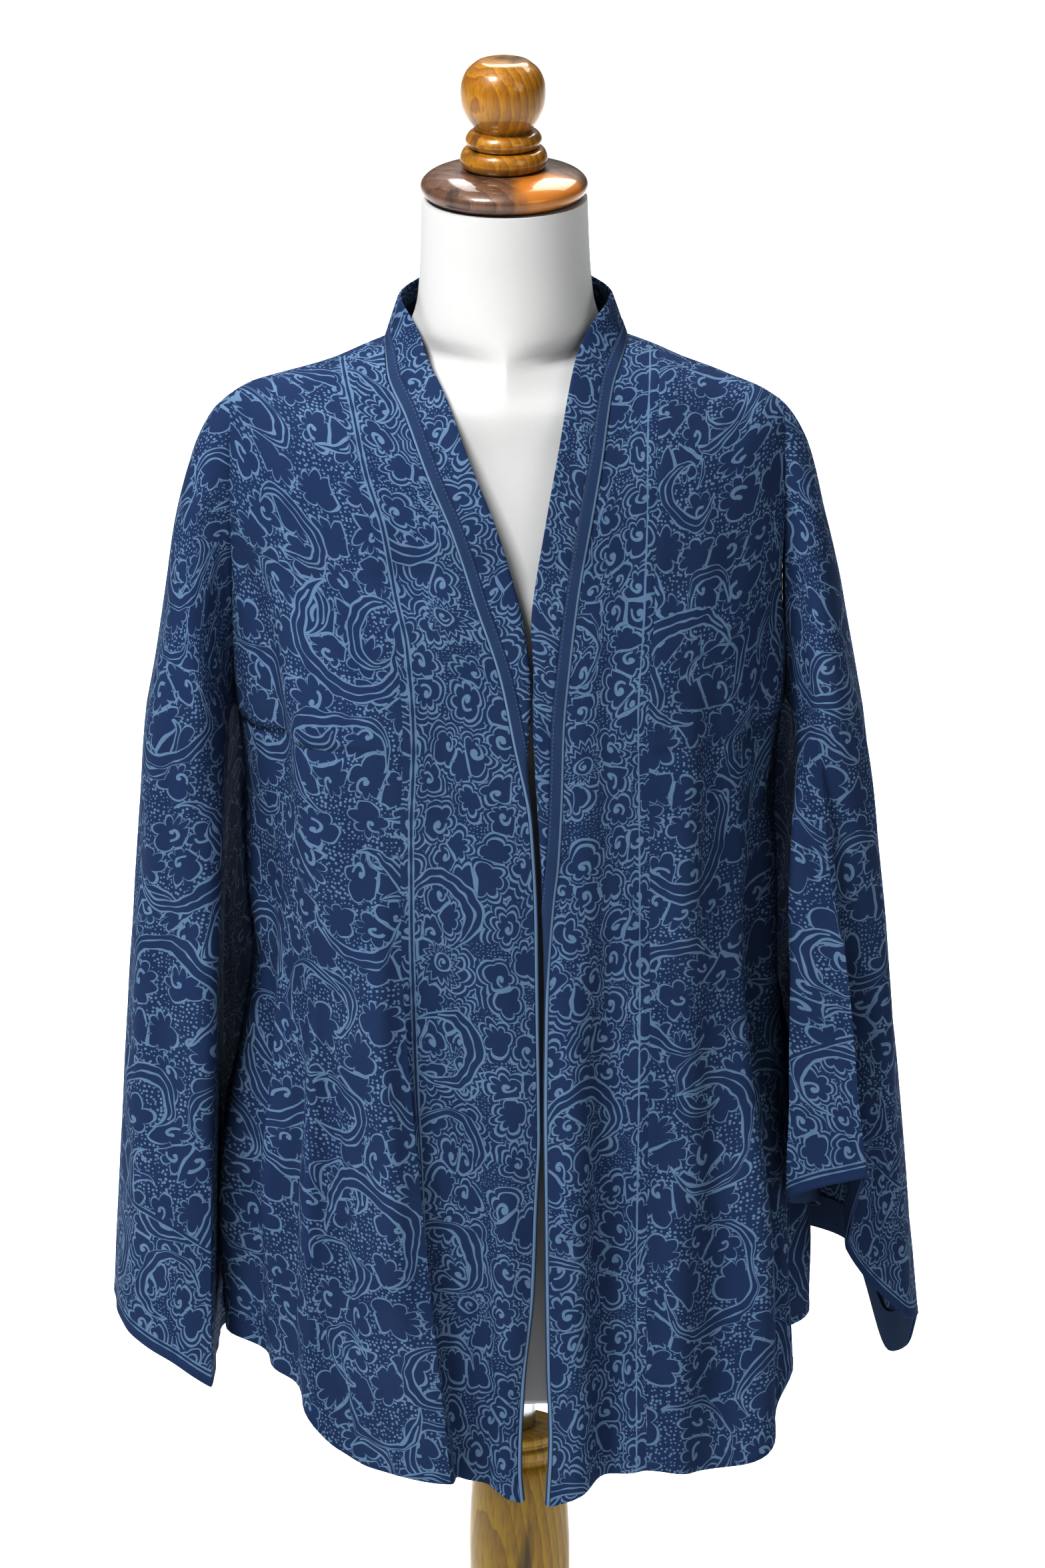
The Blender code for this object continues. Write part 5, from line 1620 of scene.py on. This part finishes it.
@dataclass(frozen=True)
class PlainCotton:
    """Vat-dyed plain cotton of the trim and the facing: flat navy, dull, with a light printed line.

    The line lies at a distance in millimetres from the seam, and there is none at one below 0.
    """

    name: str
    ground: str = "#364863"
    deep: str = "#2e3f5b"
    line: str = "#6a8096"
    line_at: float = -1.0
    line_half: float = 0.75
    dye_patch: float = 30.0
    slub: float = 0.8

    def make(self) -> Material:
        """Makes the material.

        Returns:
            The material.
        """
        made, tree = new_finish(self.name)
        place = vector(tree, "MULTIPLY", flat_places(tree), (1000, 1000, 0))
        dye = noise(tree, place, self.dye_patch, 3.0, noise_dimensions="2D")["Fac"]
        line = abs(edge_distances(tree)[0] - self.line_at) < self.line_half
        colour = mix(tree, line, mix(tree, dye, self.deep, self.ground), self.line)
        cotton_surface(tree, colour, place, self.slub)
        return made


@dataclass(frozen=True)
class PlainFinish:
    """An even finish with a little relief: jersey, sewing thread, bright steel or studio paper.

    The grain's spacing and its relief are in millimetres. On the jersey the grain is the fine
    rib of its loops, about twice as coarse as real ones.
    """

    name: str
    colour: str
    roughness: float
    metallic: float = 0.0
    grain: float = 0.0
    relief: float = 0.0

    def make(self) -> Material:
        """Makes the material.

        Returns:
            The material.
        """
        made, tree = new_finish(self.name)
        inputs = {"Base Color": linear(self.colour), "Roughness": self.roughness, "Metallic": self.metallic}
        if self.grain:
            place = add_node(tree, "ShaderNodeTexCoord", {}).outputs["Object"]
            height = noise(tree, place, self.grain / 1000, 2.0)["Fac"]
            relief = {"Height": height, "Strength": 0.4, "Distance": self.relief / 1000}
            inputs["Normal"] = add_node(tree, "ShaderNodeBump", relief).outputs[0]
        fill(tree, tree.nodes["Principled BSDF"], inputs)
        return made


@dataclass(frozen=True)
class VarnishedWood:
    """Tropical hardwood, turned and thickly varnished: warm grain under a wet-looking gloss coat.

    The grain runs up the piece, with its rings some millimetres apart and stretched along it. Dark
    heartwood stands in streaks, more with a higher share of hearts. The patch is a place, in
    millimetres, where paler sapwood shows.
    """

    name: str
    light: str
    middle: str
    dark: str
    heart: str
    hearts: float = 0.5
    ring: float = 7.0
    stretch: float = 0.14
    patch: tuple[float, float, float] = (0.0, 0.0, 0.0)
    patch_colour: str = "#ae732a"
    patch_size: float = 0.0
    coat: float = 0.85

    def make(self) -> Material:
        """Makes the material.

        Returns:
            The material.
        """
        made, tree = new_finish(self.name)
        here = add_node(tree, "ShaderNodeTexCoord", {}).outputs["Object"]
        long = add_node(tree, "ShaderNodeMapping", {0: here, 3: (1000, 1000, 1000 * self.stretch)}).outputs[0]
        wander = Term(tree, noise(tree, long, 22, 3.0)["Fac"])
        bands = {"Vector": long, "Scale": 1 / self.ring / 3.2, "Distortion": 5.0,
                 "Detail": 3.0, "Detail Scale": 0.6, "Detail Roughness": 0.6}
        rings = add_node(tree, "ShaderNodeTexWave", bands,
                         wave_type="BANDS", bands_direction="DIAGONAL", wave_profile="SAW")
        fibre = (Term(tree, noise(tree, long, 1.6, 2.0)["Fac"]) - 0.42) * 1.3
        colour = mix(tree, fibre, mix(tree, rings.outputs["Fac"], self.light, self.middle), self.dark)
        streak = ((wander - (0.72 - 0.3 * self.hearts)) * 7.0).math("MAXIMUM", 0.0).math("MINIMUM", 0.9)
        colour = mix(tree, streak, colour, self.heart)
        if self.patch_size:
            middle = {0: here, 1: tuple(c / 1000 for c in self.patch)}
            away = add_node(tree, "ShaderNodeVectorMath", middle, operation="DISTANCE").outputs["Value"]
            near = (Term(tree, away) * -1000.0 + self.patch_size) / (0.35 * self.patch_size)
            near = (near + wander * 2.0 - 1.0).math("MAXIMUM", 0.0).math("MINIMUM", 1.0)
            colour = mix(tree, near, colour, self.patch_colour)
        fill(tree, tree.nodes["Principled BSDF"], {
            "Base Color": colour, "Roughness": 0.42,
            "Coat Weight": self.coat, "Coat Roughness": 0.09, "Coat IOR": 1.5,
        })
        return made


@dataclass
class Prints:
    """The jacket's cotton finishes, one for each way its print is cut and edged."""

    centres: dict[int, Material]
    side: Material
    back: Material
    sleeve: Material
    border: Material
    collar: Material
    trim: Material
    facing: Material


# The jacket


@dataclass
class Jacket:
    """The kimono jacket: two fronts, the back, two sleeves, and the trim and band round its edge."""

    fronts: tuple[Front, Front]
    back: Back
    sleeves: tuple[Sleeve, Sleeve]
    band: Band

    def prints(self) -> Prints:
        """Makes the jacket's finishes."""
        clouds, leaves = Motifs.CLOUDS, Motifs.LEAVES
        return Prints(
            centres={
                -1: BatikCotton("batik_cotton_centre_right", clouds, edge_lines=(5.8, 8.9)).make(),
                1: BatikCotton("batik_cotton_centre_left", clouds, edge_lines=(7.0,)).make(),
            },
            side=BatikCotton("batik_cotton_side", leaves, (130.0, 20.0)).make(),
            back=BatikCotton("batik_cotton_back", leaves, (610.0, 300.0)).make(),
            sleeve=BatikCotton("batik_cotton_sleeve", leaves, (330.0, 150.0)).make(),
            border=BatikCotton("batik_cotton_sleeve_border", clouds, (90.0, 40.0),
                               hem_lines=(-5.0, 8.5, 8.5, 12.0, 100.0, 104.0)).make(),
            collar=BatikCotton("batik_cotton_collar", clouds, (40.0, 510.0)).make(),
            trim=PlainCotton("plain_cotton_trim", line_at=1.0).make(),
            facing=PlainCotton("plain_cotton_facing").make(),
        )

    def build(self) -> list[Piece]:
        """Makes the jacket's pieces and dresses them.

        Returns:
            All its pieces.
        """
        prints = self.prints()
        made = []
        for part in (*self.fronts, self.back, *self.sleeves, self.band):
            made += part.build(prints)
        made += CuffFacing(self.sleeves[1]).build(prints.facing)
        thread = PlainFinish("polyester_sewing_thread", "#4f6796", 0.55).make()
        made += Topstitching(self.band).build(thread)
        return made


@dataclass
class DressForm:
    """The limbless form: torso, turned finial and neck cap, steel rod, turned column and round base."""

    torso: Torso
    turnings: tuple[tuple[Turning, VarnishedWood], ...]

    def build(self) -> list[Piece]:
        """Makes the form's pieces and dresses them.

        Returns:
            All its pieces.
        """
        jersey = PlainFinish("cotton_jersey_cover", "#bdbdbc", 0.85, grain=1.1, relief=0.12).make()
        steel = PlainFinish("bright_drawn_steel", "#c4c8ca", 0.22, metallic=1.0).make()
        made = self.torso.build(jersey)
        for turning, wood in self.turnings:
            made += turning.build(wood.make())
        made += Rod().build(steel)
        return made


@dataclass
class Studio:
    """The pale floor, the soft lights and the camera at the photograph's angle.

    The camera stands at a distance from its aim, pitched down and rolled a little, with a lens in
    millimetres on a sensor 36 mm high. The room's light has strengths overhead, all round and
    from the viewer's left. A contrast below 1 is the view's gamma, which deepens the shades.
    """

    pitch: float = math.radians(18.5)
    roll: float = math.radians(0.626)
    distance: float = 7.0
    lens: float = 231.0
    aim: tuple[float, float, float] = (0.008, 0.0, CAP_HEIGHT - 0.4325)
    overhead: float = 0.46
    around: float = 0.11
    sideways: float = 0.12
    contrast: float = 0.72

    def build(self) -> None:
        """Sets the scene."""
        start_fresh()
        bpy.ops.mesh.primitive_plane_add(size=60, location=(0, 0, 0))
        floor = bpy.context.object
        floor.name = "studio_floor"
        floor.data.materials.append(PlainFinish("matt_studio_paper", "#fafafa", 0.95).make())
        self.add_air()
        self.add_light("key_softbox", (-2.3, -2.3, 5.9), 1.6, 600.0, self.aim)
        self.add_light("fill_softbox", (3.6, -3.4, 3.4), 2.4, 40.0, self.aim)
        self.add_light("background_softbox", (0.8, 3.2, 3.8), 3.4, 210.0, (0.8, 3.1, 0.0))
        self.add_camera()
        view = bpy.context.scene.view_settings
        view.view_transform = "Standard"
        view.gamma = self.contrast

    def add_air(self) -> None:
        """Adds the soft light of the room: brightest overhead and weaker from the viewer's right."""
        world = bpy.data.worlds.new("studio_air")
        world.use_nodes = True
        tree = world.node_tree
        way = add_node(tree, "ShaderNodeTexCoord", {}).outputs["Generated"]
        x, _, z = (Term(tree, s) for s in add_node(tree, "ShaderNodeSeparateXYZ", {0: way}).outputs)
        strength = z.math("MAXIMUM", 0.0) * self.overhead + self.around - x * self.sideways
        air = tree.nodes["Background"]
        air.inputs[0].default_value = linear("#fbfcfe")
        tree.links.new(strength.socket, air.inputs[1])
        bpy.context.scene.world = world

    def add_light(self, name: str, place: tuple[float, float, float], size: float, power: float,
                  aim: tuple[float, float, float]) -> None:
        """Adds a square softbox that faces a place.

        Args:
            name: Its name.
            place: Where it hangs.
            size: Its side in metres.
            power: Its power in watts.
            aim: The place that it faces.
        """
        start_fresh()
        bpy.ops.object.light_add(type="AREA", location=place)
        light = bpy.context.object
        light.name = name
        light.data.size = size
        light.data.energy = power
        towards = unit(np.array(place) - np.array(aim))
        side = unit(np.cross([0.0, 1.0, 1.0], towards))
        turn(light, side, np.cross(towards, side), towards)

    def add_camera(self) -> None:
        """Adds the camera, which looks down at the jacket and leans as the photograph does."""
        ahead = np.array([0.0, math.cos(self.pitch), -math.sin(self.pitch)])
        up = np.array([0.0, math.sin(self.pitch), math.cos(self.pitch)])
        right = np.array([1.0, 0.0, 0.0])
        leaned_right = right * math.cos(self.roll) - up * math.sin(self.roll)
        leaned_up = up * math.cos(self.roll) + right * math.sin(self.roll)
        data = bpy.data.cameras.new("photo_camera")
        data.sensor_fit = "VERTICAL"
        data.sensor_height = 36.0
        data.lens = self.lens
        data.clip_end = 200.0
        camera = bpy.data.objects.new("photo_camera", data)
        camera.location = np.array(self.aim) - self.distance * ahead
        turn(camera, leaned_right, leaned_up, -ahead)
        bpy.context.scene.collection.objects.link(camera)
        bpy.context.scene.camera = camera


def turn(item: Piece, *axes: Array) -> None:
    """Turns a light or the camera so that its own three axes point these ways."""
    item.rotation_euler = Matrix(np.stack(axes, axis=1).tolist()).to_euler()


# This jacket and its form

# The fronts' edges and seams are distances out from the centre line at each drop, and their hems
# are drops at each place across.
RIGHT_FRONT = Front(
    side=-1,
    edge=Line(
        (0.110, 0.121, 0.144, 0.178, 0.217, 0.261, 0.315, 0.359,
         0.421, 0.495, 0.642, 0.691, 0.760, 0.830, 0.892, 0.920),
        (-0.083, -0.082, -0.070, -0.056, -0.039, -0.025, -0.0075, 0.001,
         0.0118, 0.0145, 0.0148, 0.0122, 0.0092, 0.0020, -0.0008, 0.0010),
    ),
    seam=Line(
        (0.125, 0.147, 0.183, 0.216, 0.262, 0.297, 0.362, 0.424, 0.498, 0.694, 0.890),
        (0.119, 0.112, 0.103, 0.092, 0.084, 0.077, 0.0735, 0.076, 0.0765, 0.066, 0.052),
    ),
    hem=Line(
        (0.0, 0.3, 0.5, 0.7, 1.0, 1.2, 1.3, 1.4, 1.5, 1.6, 1.8, 2.0),
        (0.916, 0.9104, 0.9042, 0.901, 0.894, 0.891, 0.8826, 0.858, 0.8416, 0.8337, 0.820, 0.806),
    ),
    folds=(
        Fold(1.10, 1.00, 0.40, 0.10, 0.012, -0.010),
        Fold(1.36, 1.38, 0.45, 0.07, 0.009),
        Fold(1.52, 1.56, 0.50, 0.07, 0.008),
        Fold(0.45, 0.50, 0.50, 0.16, 0.006),
        Fold(1.80, 1.78, 0.55, 0.06, 0.006),
        Fold(1.36, 1.10, 0.20, 0.20, 0.014, growth=0.8),
        Fold(0.88, 0.46, 0.20, 0.24, -0.0165, growth=0.8),
        Fold(1.66, 1.60, 0.38, 0.14, -0.010, growth=0.9),
    ),
    centre_creases=crease_rows(
        (0.75, 0.36, 0.52, 0.75, 0.011, 0.0041, 0.004),
        (0.30, 0.22, 0.62, 0.48, 0.012, -0.0038, 0.003),
        (0.93, 0.50, 0.92, 0.99, 0.009, -0.0068, 0.001),
        (0.30, 0.60, 0.22, 0.95, 0.009, 0.0030, 0.002),
        (0.62, 0.70, 0.66, 0.98, 0.007, 0.0035, -0.002),
        (0.50, 0.02, 0.70, 0.24, 0.014, -0.0027, 0.003),
    ),
    side_creases=crease_rows(
        (1.85, 0.16, 1.55, 0.46, 0.014, -0.0062, 0.008),
        (1.62, 0.20, 1.32, 0.56, 0.013, 0.0049, 0.007),
        (1.40, 0.12, 1.20, 0.40, 0.012, -0.0035, 0.004),
        (1.06, 0.98, 1.05, 0.42, 0.007, 0.0084, 0.002, 2.6),
        (1.24, 0.99, 1.26, 0.50, 0.008, -0.0054, 0.003),
        (1.36, 0.98, 1.34, 0.52, 0.006, 0.0062, -0.003),
        (1.46, 0.97, 1.45, 0.60, 0.006, -0.0054, -0.002),
        (1.56, 0.97, 1.52, 0.48, 0.007, 0.0065, 0.004),
        (1.70, 0.99, 1.64, 0.58, 0.008, -0.0054, 0.003),
        (1.82, 0.97, 1.80, 0.62, 0.008, 0.0046, -0.002),
        (1.92, 0.40, 1.70, 0.62, 0.011, 0.0041, -0.006),
    ),
)
LEFT_FRONT = Front(
    side=1,
    edge=Line(
        (0.110, 0.131, 0.174, 0.207, 0.262, 0.310, 0.349, 0.403,
         0.449, 0.473, 0.513, 0.555, 0.648, 0.813, 0.866, 0.923),
        (0.083, 0.073, 0.065, 0.0585, 0.0483, 0.0419, 0.0379, 0.0358,
         0.0329, 0.0299, 0.0265, 0.0245, 0.0230, 0.0232, 0.0245, 0.0215),
    ),
    seam=Line(
        (0.123, 0.163, 0.212, 0.265, 0.353, 0.445, 0.550, 0.700, 0.896),
        (0.105, 0.1027, 0.1016, 0.0991, 0.0930, 0.0933, 0.0935, 0.0915, 0.0894),
    ),
    hem=Line(
        (0.0, 0.3, 0.5, 0.8, 1.0, 1.2, 1.3, 1.4, 1.5, 1.6, 1.7, 2.0),
        (0.920, 0.9116, 0.9055, 0.900, 0.897, 0.9035, 0.900, 0.888, 0.867, 0.841, 0.832, 0.826),
    ),
    folds=(
        Fold(1.16, 1.10, 0.32, 0.08, 0.009),
        Fold(1.42, 1.36, 0.28, 0.09, 0.012, 0.004),
        Fold(1.66, 1.58, 0.40, 0.07, 0.009),
        Fold(0.96, 1.40, 0.20, 0.18, 0.015, growth=0.8),
        Fold(0.50, 0.62, 0.20, 0.24, -0.018, growth=0.8),
        Fold(1.42, 1.80, 0.20, 0.14, -0.015, growth=0.8),
    ),
    centre_creases=crease_rows(
        (0.60, 0.28, 0.42, 0.62, 0.011, 0.0038, -0.003),
        (0.80, 0.52, 0.66, 0.95, 0.008, -0.0041, 0.002),
        (0.25, 0.55, 0.35, 0.98, 0.009, 0.0032, 0.002),
        (0.45, 0.04, 0.55, 0.26, 0.014, -0.0027, -0.003),
        (0.92, 0.72, 0.90, 0.99, 0.008, -0.0046, 0.001),
    ),
    side_creases=crease_rows(
        (1.86, 0.16, 1.50, 0.44, 0.014, -0.0065, -0.008),
        (1.66, 0.18, 1.38, 0.60, 0.012, 0.0057, -0.006),
        (1.20, 0.30, 1.14, 0.58, 0.010, 0.0046, 0.003),
        (1.30, 0.26, 1.38, 0.52, 0.009, -0.0046, 0.003),
        (1.10, 0.99, 1.08, 0.70, 0.007, 0.0054, -0.002),
        (1.24, 0.98, 1.24, 0.56, 0.008, -0.0057, 0.003),
        (1.36, 0.97, 1.42, 0.44, 0.008, 0.0068, -0.004, 2.2),
        (1.52, 0.98, 1.56, 0.52, 0.008, -0.0062, 0.003),
        (1.64, 0.96, 1.74, 0.40, 0.009, 0.0068, -0.005, 2.2),
        (1.84, 0.97, 1.88, 0.56, 0.008, -0.0051, 0.002),
        (1.96, 0.36, 1.72, 0.48, 0.011, -0.0046, -0.004),
    ),
)
BACK = Back(
    folds=(
        Fold(-0.56, -0.66, 0.40, 0.07, 0.010),
        Fold(-0.30, -0.34, 0.30, 0.07, 0.012),
        Fold(-0.04, -0.06, 0.35, 0.08, 0.012),
        Fold(0.24, 0.27, 0.30, 0.07, 0.011),
        Fold(0.52, 0.62, 0.42, 0.08, 0.010),
    ),
    creases=crease_rows(
        (-0.84, 0.16, -0.46, 0.46, 0.014, -0.0046, 0.008),
        (0.86, 0.14, 0.44, 0.48, 0.014, -0.0048, -0.008),
        (-0.66, 0.14, -0.30, 0.38, 0.013, 0.0034, 0.005),
        (0.62, 0.12, 0.30, 0.36, 0.012, 0.0030, -0.005),
        (-0.36, 0.08, 0.30, 0.11, 0.016, 0.0020, 0.006),
        (-0.20, 0.26, -0.14, 0.84, 0.010, 0.0034, 0.004),
        (0.38, 0.36, 0.46, 0.94, 0.010, -0.0040, -0.004),
        (0.10, 0.40, 0.12, 0.97, 0.009, 0.0036, 0.003),
        (-0.46, 0.46, -0.50, 0.98, 0.009, -0.0036, 0.003),
        (-0.74, 0.52, -0.70, 0.97, 0.009, 0.0040, -0.003),
        (0.72, 0.50, 0.76, 0.96, 0.009, 0.0040, 0.003),
        (-0.04, 0.60, -0.02, 0.99, 0.007, -0.0028, -0.002),
    ),
)
RIGHT_SLEEVE = Sleeve(
    side=-1,
    outer=Line((0.148, 0.160, 0.190, 0.247, 0.315, 0.376), (0.190, 0.2020, 0.2165, 0.2306, 0.2413, 0.2525)),
    cuff_angles=(0, 40, 85, 130, 165, 205, 240, 275, 320),
    elbow_angles=(0, 42, 88, 130, 165, 195, 222, 275, 320),
    cuff_out=(0.2850, 0.2735, 0.2450, 0.2155, 0.2135, 0.2120, 0.1740, 0.2430, 0.2745),
    cuff_back=(0.010, -0.036, -0.062, -0.071, -0.030, 0.030, 0.094, 0.088, 0.058),
    cuff_drop=(0.812, 0.824, 0.836, 0.853, 0.850, 0.849, 0.850, 0.842, 0.822),
    flare=(0.90, 0.80, 0.72, 0.72, 0.72, 0.72, 0.25, 0.72, 0.80),
    creases=crease_rows(
        (62, 0.10, 92, 0.90, 0.012, -0.0052, 0.007),
        (44, 0.24, 50, 0.96, 0.010, 0.0036, -0.005),
        (110, 0.18, 112, 0.80, 0.009, 0.0040, 0.004),
        (250, 0.16, 262, 0.92, 0.012, -0.0044, 0.006),
        (300, 0.20, 312, 0.88, 0.010, 0.0036, -0.005),
        (20, 0.40, 70, 0.58, 0.010, -0.0024, 0.004),
        (10, 0.66, 60, 0.80, 0.010, 0.0020, 0.004),
    ),
    flat=(0.42, 0.62),
)
LEFT_SLEEVE = Sleeve(
    side=1,
    outer=Line((0.158, 0.170, 0.190, 0.235, 0.285, 0.352, 0.376),
               (0.190, 0.1985, 0.2075, 0.2180, 0.2288, 0.2395, 0.2435)),
    cuff_angles=(0, 30, 60, 84, 120, 150, 190, 230, 270, 315, 338),
    elbow_angles=(0, 48, 92, 112, 138, 158, 190, 222, 268, 312, 338),
    cuff_out=(0.2835, 0.2755, 0.2330, 0.2440, 0.1890, 0.2090, 0.2135, 0.1740, 0.2380, 0.2670, 0.2775),
    cuff_back=(0.004, -0.030, -0.046, -0.084, -0.082, -0.045, 0.020, 0.093, 0.086, 0.052, 0.032),
    cuff_drop=(0.833, 0.822, 0.760, 0.696, 0.713, 0.728, 0.756, 0.784, 0.808, 0.879, 0.868),
    flare=(0.90, 0.82, 0.72, 0.72, 0.72, 0.72, 0.72, 0.20, 0.72, 0.80, 0.88),
    creases=crease_rows(
        (66, 0.08, 78, 0.70, 0.012, -0.0052, -0.007),
        (34, 0.20, 42, 0.92, 0.010, 0.0038, 0.005),
        (108, 0.22, 104, 0.88, 0.009, 0.0036, 0.003),
        (54, 0.50, 60, 0.96, 0.009, -0.0030, 0.004),
        (246, 0.18, 258, 0.90, 0.012, -0.0044, 0.006),
        (296, 0.24, 310, 0.88, 0.010, 0.0036, -0.005),
    ),
    flat=(0.42, 0.60),
)
LEFT_ROLL_DROPS = (0.110, 0.262, 0.310, 0.349, 0.403, 0.449, 0.473, 0.513, 0.555, 0.930)
LEFT_ROLL = (0.0320, 0.0300, 0.0232, 0.0196, 0.0155, 0.0104, 0.0068, 0.0026, 0.0006, 0.0004)
RIGHT_ROLL = Line((0.110, 0.261, 0.300, 0.340, 0.359, 0.388, 0.421, 0.500, 0.930),
                  (0.0320, 0.0290, 0.0220, 0.0138, 0.0088, 0.0026, 0.0006, 0.0004, 0.0004))
LEAN_DROPS = (0.110, 0.121, 0.144, 0.178, 0.217, 0.262, 0.320, 0.930)
BAND = Band(
    fronts={-1: RIGHT_FRONT, 1: LEFT_FRONT},
    rolls={-1: RIGHT_ROLL, 1: Line(LEFT_ROLL_DROPS, LEFT_ROLL)},
    inward=Line(LEAN_DROPS, (0.33, 0.78, 0.86, 0.94, 0.98, 1.00, 1.00, 1.00)),
    forward=Line(LEAN_DROPS, (0.02, 0.02, 0.06, 0.12, 0.14, 0.12, 0.06, 0.02)),
    up=Line(LEAN_DROPS, (0.94, 0.62, 0.50, 0.32, 0.16, 0.05, 0.0, 0.0)),
    neck_lean=Line((0.0, 30.0, 60.0, 90.0), (0.33, 0.36, 0.13, 0.04)),
)
JACKET = Jacket((RIGHT_FRONT, LEFT_FRONT), BACK, (RIGHT_SLEEVE, LEFT_SLEEVE), BAND)

# The torso's shoulders lie just below the cloth.
SHOULDER_DROPS = tuple(float(FIGURE.left_shoulder.at(out)) + 0.0015 for out in SHOULDER_OUTS[:5])
TORSO = Torso(
    drops=(0.0104, 0.050, 0.080, 0.098, *SHOULDER_DROPS,
           0.168, 0.210, 0.250, 0.300, 0.360, 0.440, 0.520, 0.640, 0.750, 0.835, 0.850, 0.8545),
    wide=(0.0568, 0.0580, 0.0603, 0.0660, 0.083, 0.100, 0.120, 0.140, 0.155,
          0.1640, 0.1650, 0.1620, 0.1560, 0.1420, 0.1250, 0.1380, 0.1660, 0.1680, 0.1640, 0.1620, 0.1560),
    front=(0.0568, 0.0580, 0.0608, 0.0640, 0.0670, 0.0690, 0.0715, 0.0740, 0.0765,
           0.0810, 0.0915, 0.1015, 0.1120, 0.1070, 0.0900, 0.0980, 0.1150, 0.1160, 0.1130, 0.1110, 0.1050),
    back=(0.0568, 0.0580, 0.0590, 0.0600, 0.0600, 0.0600, 0.0610, 0.0630, 0.0660,
          0.0700, 0.0790, 0.0840, 0.0860, 0.0850, 0.0780, 0.0850, 0.0970, 0.0990, 0.0970, 0.0950, 0.0900),
    square=(2.0, 2.0, 1.95, 1.7, 1.22, 1.25, 1.32, 1.45, 1.6, 1.9, 2.0, *(2.1,) * 10),
)
FINIAL = Turning("turned_finial", "finial", (
    (0.0148, 0.0862, True), (0.0170, 0.0856, False), (0.0185, 0.0848, True), (0.0245, 0.0795, False),
    (0.0283, 0.0715, False), (0.0291, 0.0625, False), (0.0280, 0.0535, False), (0.0240, 0.0445, False),
    (0.0195, 0.0390, False), (0.0190, 0.0375, True), (0.0235, 0.0360, False), (0.0262, 0.0312, False),
    (0.0245, 0.0270, False), (0.0225, 0.0256, True), (0.0275, 0.0241, False), (0.0300, 0.0183, False),
    (0.0285, 0.0130, False), (0.0265, 0.0112, True),
))
NECK_CAP = Turning("turned_neck_cap", "neck_cap", (
    (0.0300, 0.0108, True), (0.0400, 0.0095, False), (0.0500, 0.0068, False), (0.0555, 0.0030, False),
    (0.0573, -0.0010, False), (0.0560, -0.0055, False), (0.0520, -0.0090, True), (0.0470, -0.0101, True),
))
COLUMN = Turning("turned_column", "column", (
    (0.0290, -0.9120, True), (0.0303, -0.9135, False), (0.0303, -0.9175, False), (0.0288, -0.9195, True),
    (0.0288, -0.9215, True), (0.0306, -0.9235, False), (0.0306, -0.9290, False), (0.0292, -0.9310, True),
    (0.0292, -0.9340, True), (0.0312, -0.9400, False), (0.0338, -0.9600, False), (0.0352, -0.9850, False),
    (0.0357, -1.0100, False), (0.0345, -1.0500, False), (0.0305, -1.1000, False), (0.0262, -1.1400, False),
    (0.0240, -1.1650, True), (0.0290, -1.1720, False), (0.0330, -1.1810, False), (0.0330, -1.1900, False),
    (0.0290, -1.1960, True), (0.0360, -1.2020, False), (0.0420, -1.2147, True),
))
BASE = Turning("turned_base", "base", (
    (0.0500, -1.2150, True), (0.0900, -1.2170, False), (0.1240, -1.2230, False), (0.1350, -1.2320, False),
    (0.1350, -1.2450, True), (0.1310, -1.2500, True),
))
AMBER = VarnishedWood("varnished_hardwood_finial", "#a97c14", "#8c5c10", "#5e3c12", "#44290e", 0.5, 4.2)
WALNUT = VarnishedWood("varnished_hardwood_cap", "#7a5c48", "#5e4435", "#3c2a24", "#302320", 0.7, 7.0,
                       patch=(34.0, -40.0, 1000 * CAP_HEIGHT), patch_size=34.0)
HONEY = VarnishedWood("varnished_hardwood_column", "#a38406", "#876606", "#5a4206", "#3e2a06", 0.5, 4.8,
                      coat=0.4)
FORM = DressForm(TORSO, ((FINIAL, AMBER), (NECK_CAP, WALNUT), (COLUMN, HONEY), (BASE, HONEY)))


def main() -> None:
    """Builds the jacket, its form and the studio, and reports each piece."""
    logging.basicConfig(level=logging.INFO, format="%(name)s: %(message)s")
    Studio().build()
    for part in (FORM, JACKET):
        for piece in part.build():
            LOG.info("%s: %d faces", piece.name, len(piece.data.polygons))
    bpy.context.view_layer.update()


if __name__ == "__main__":
    main()
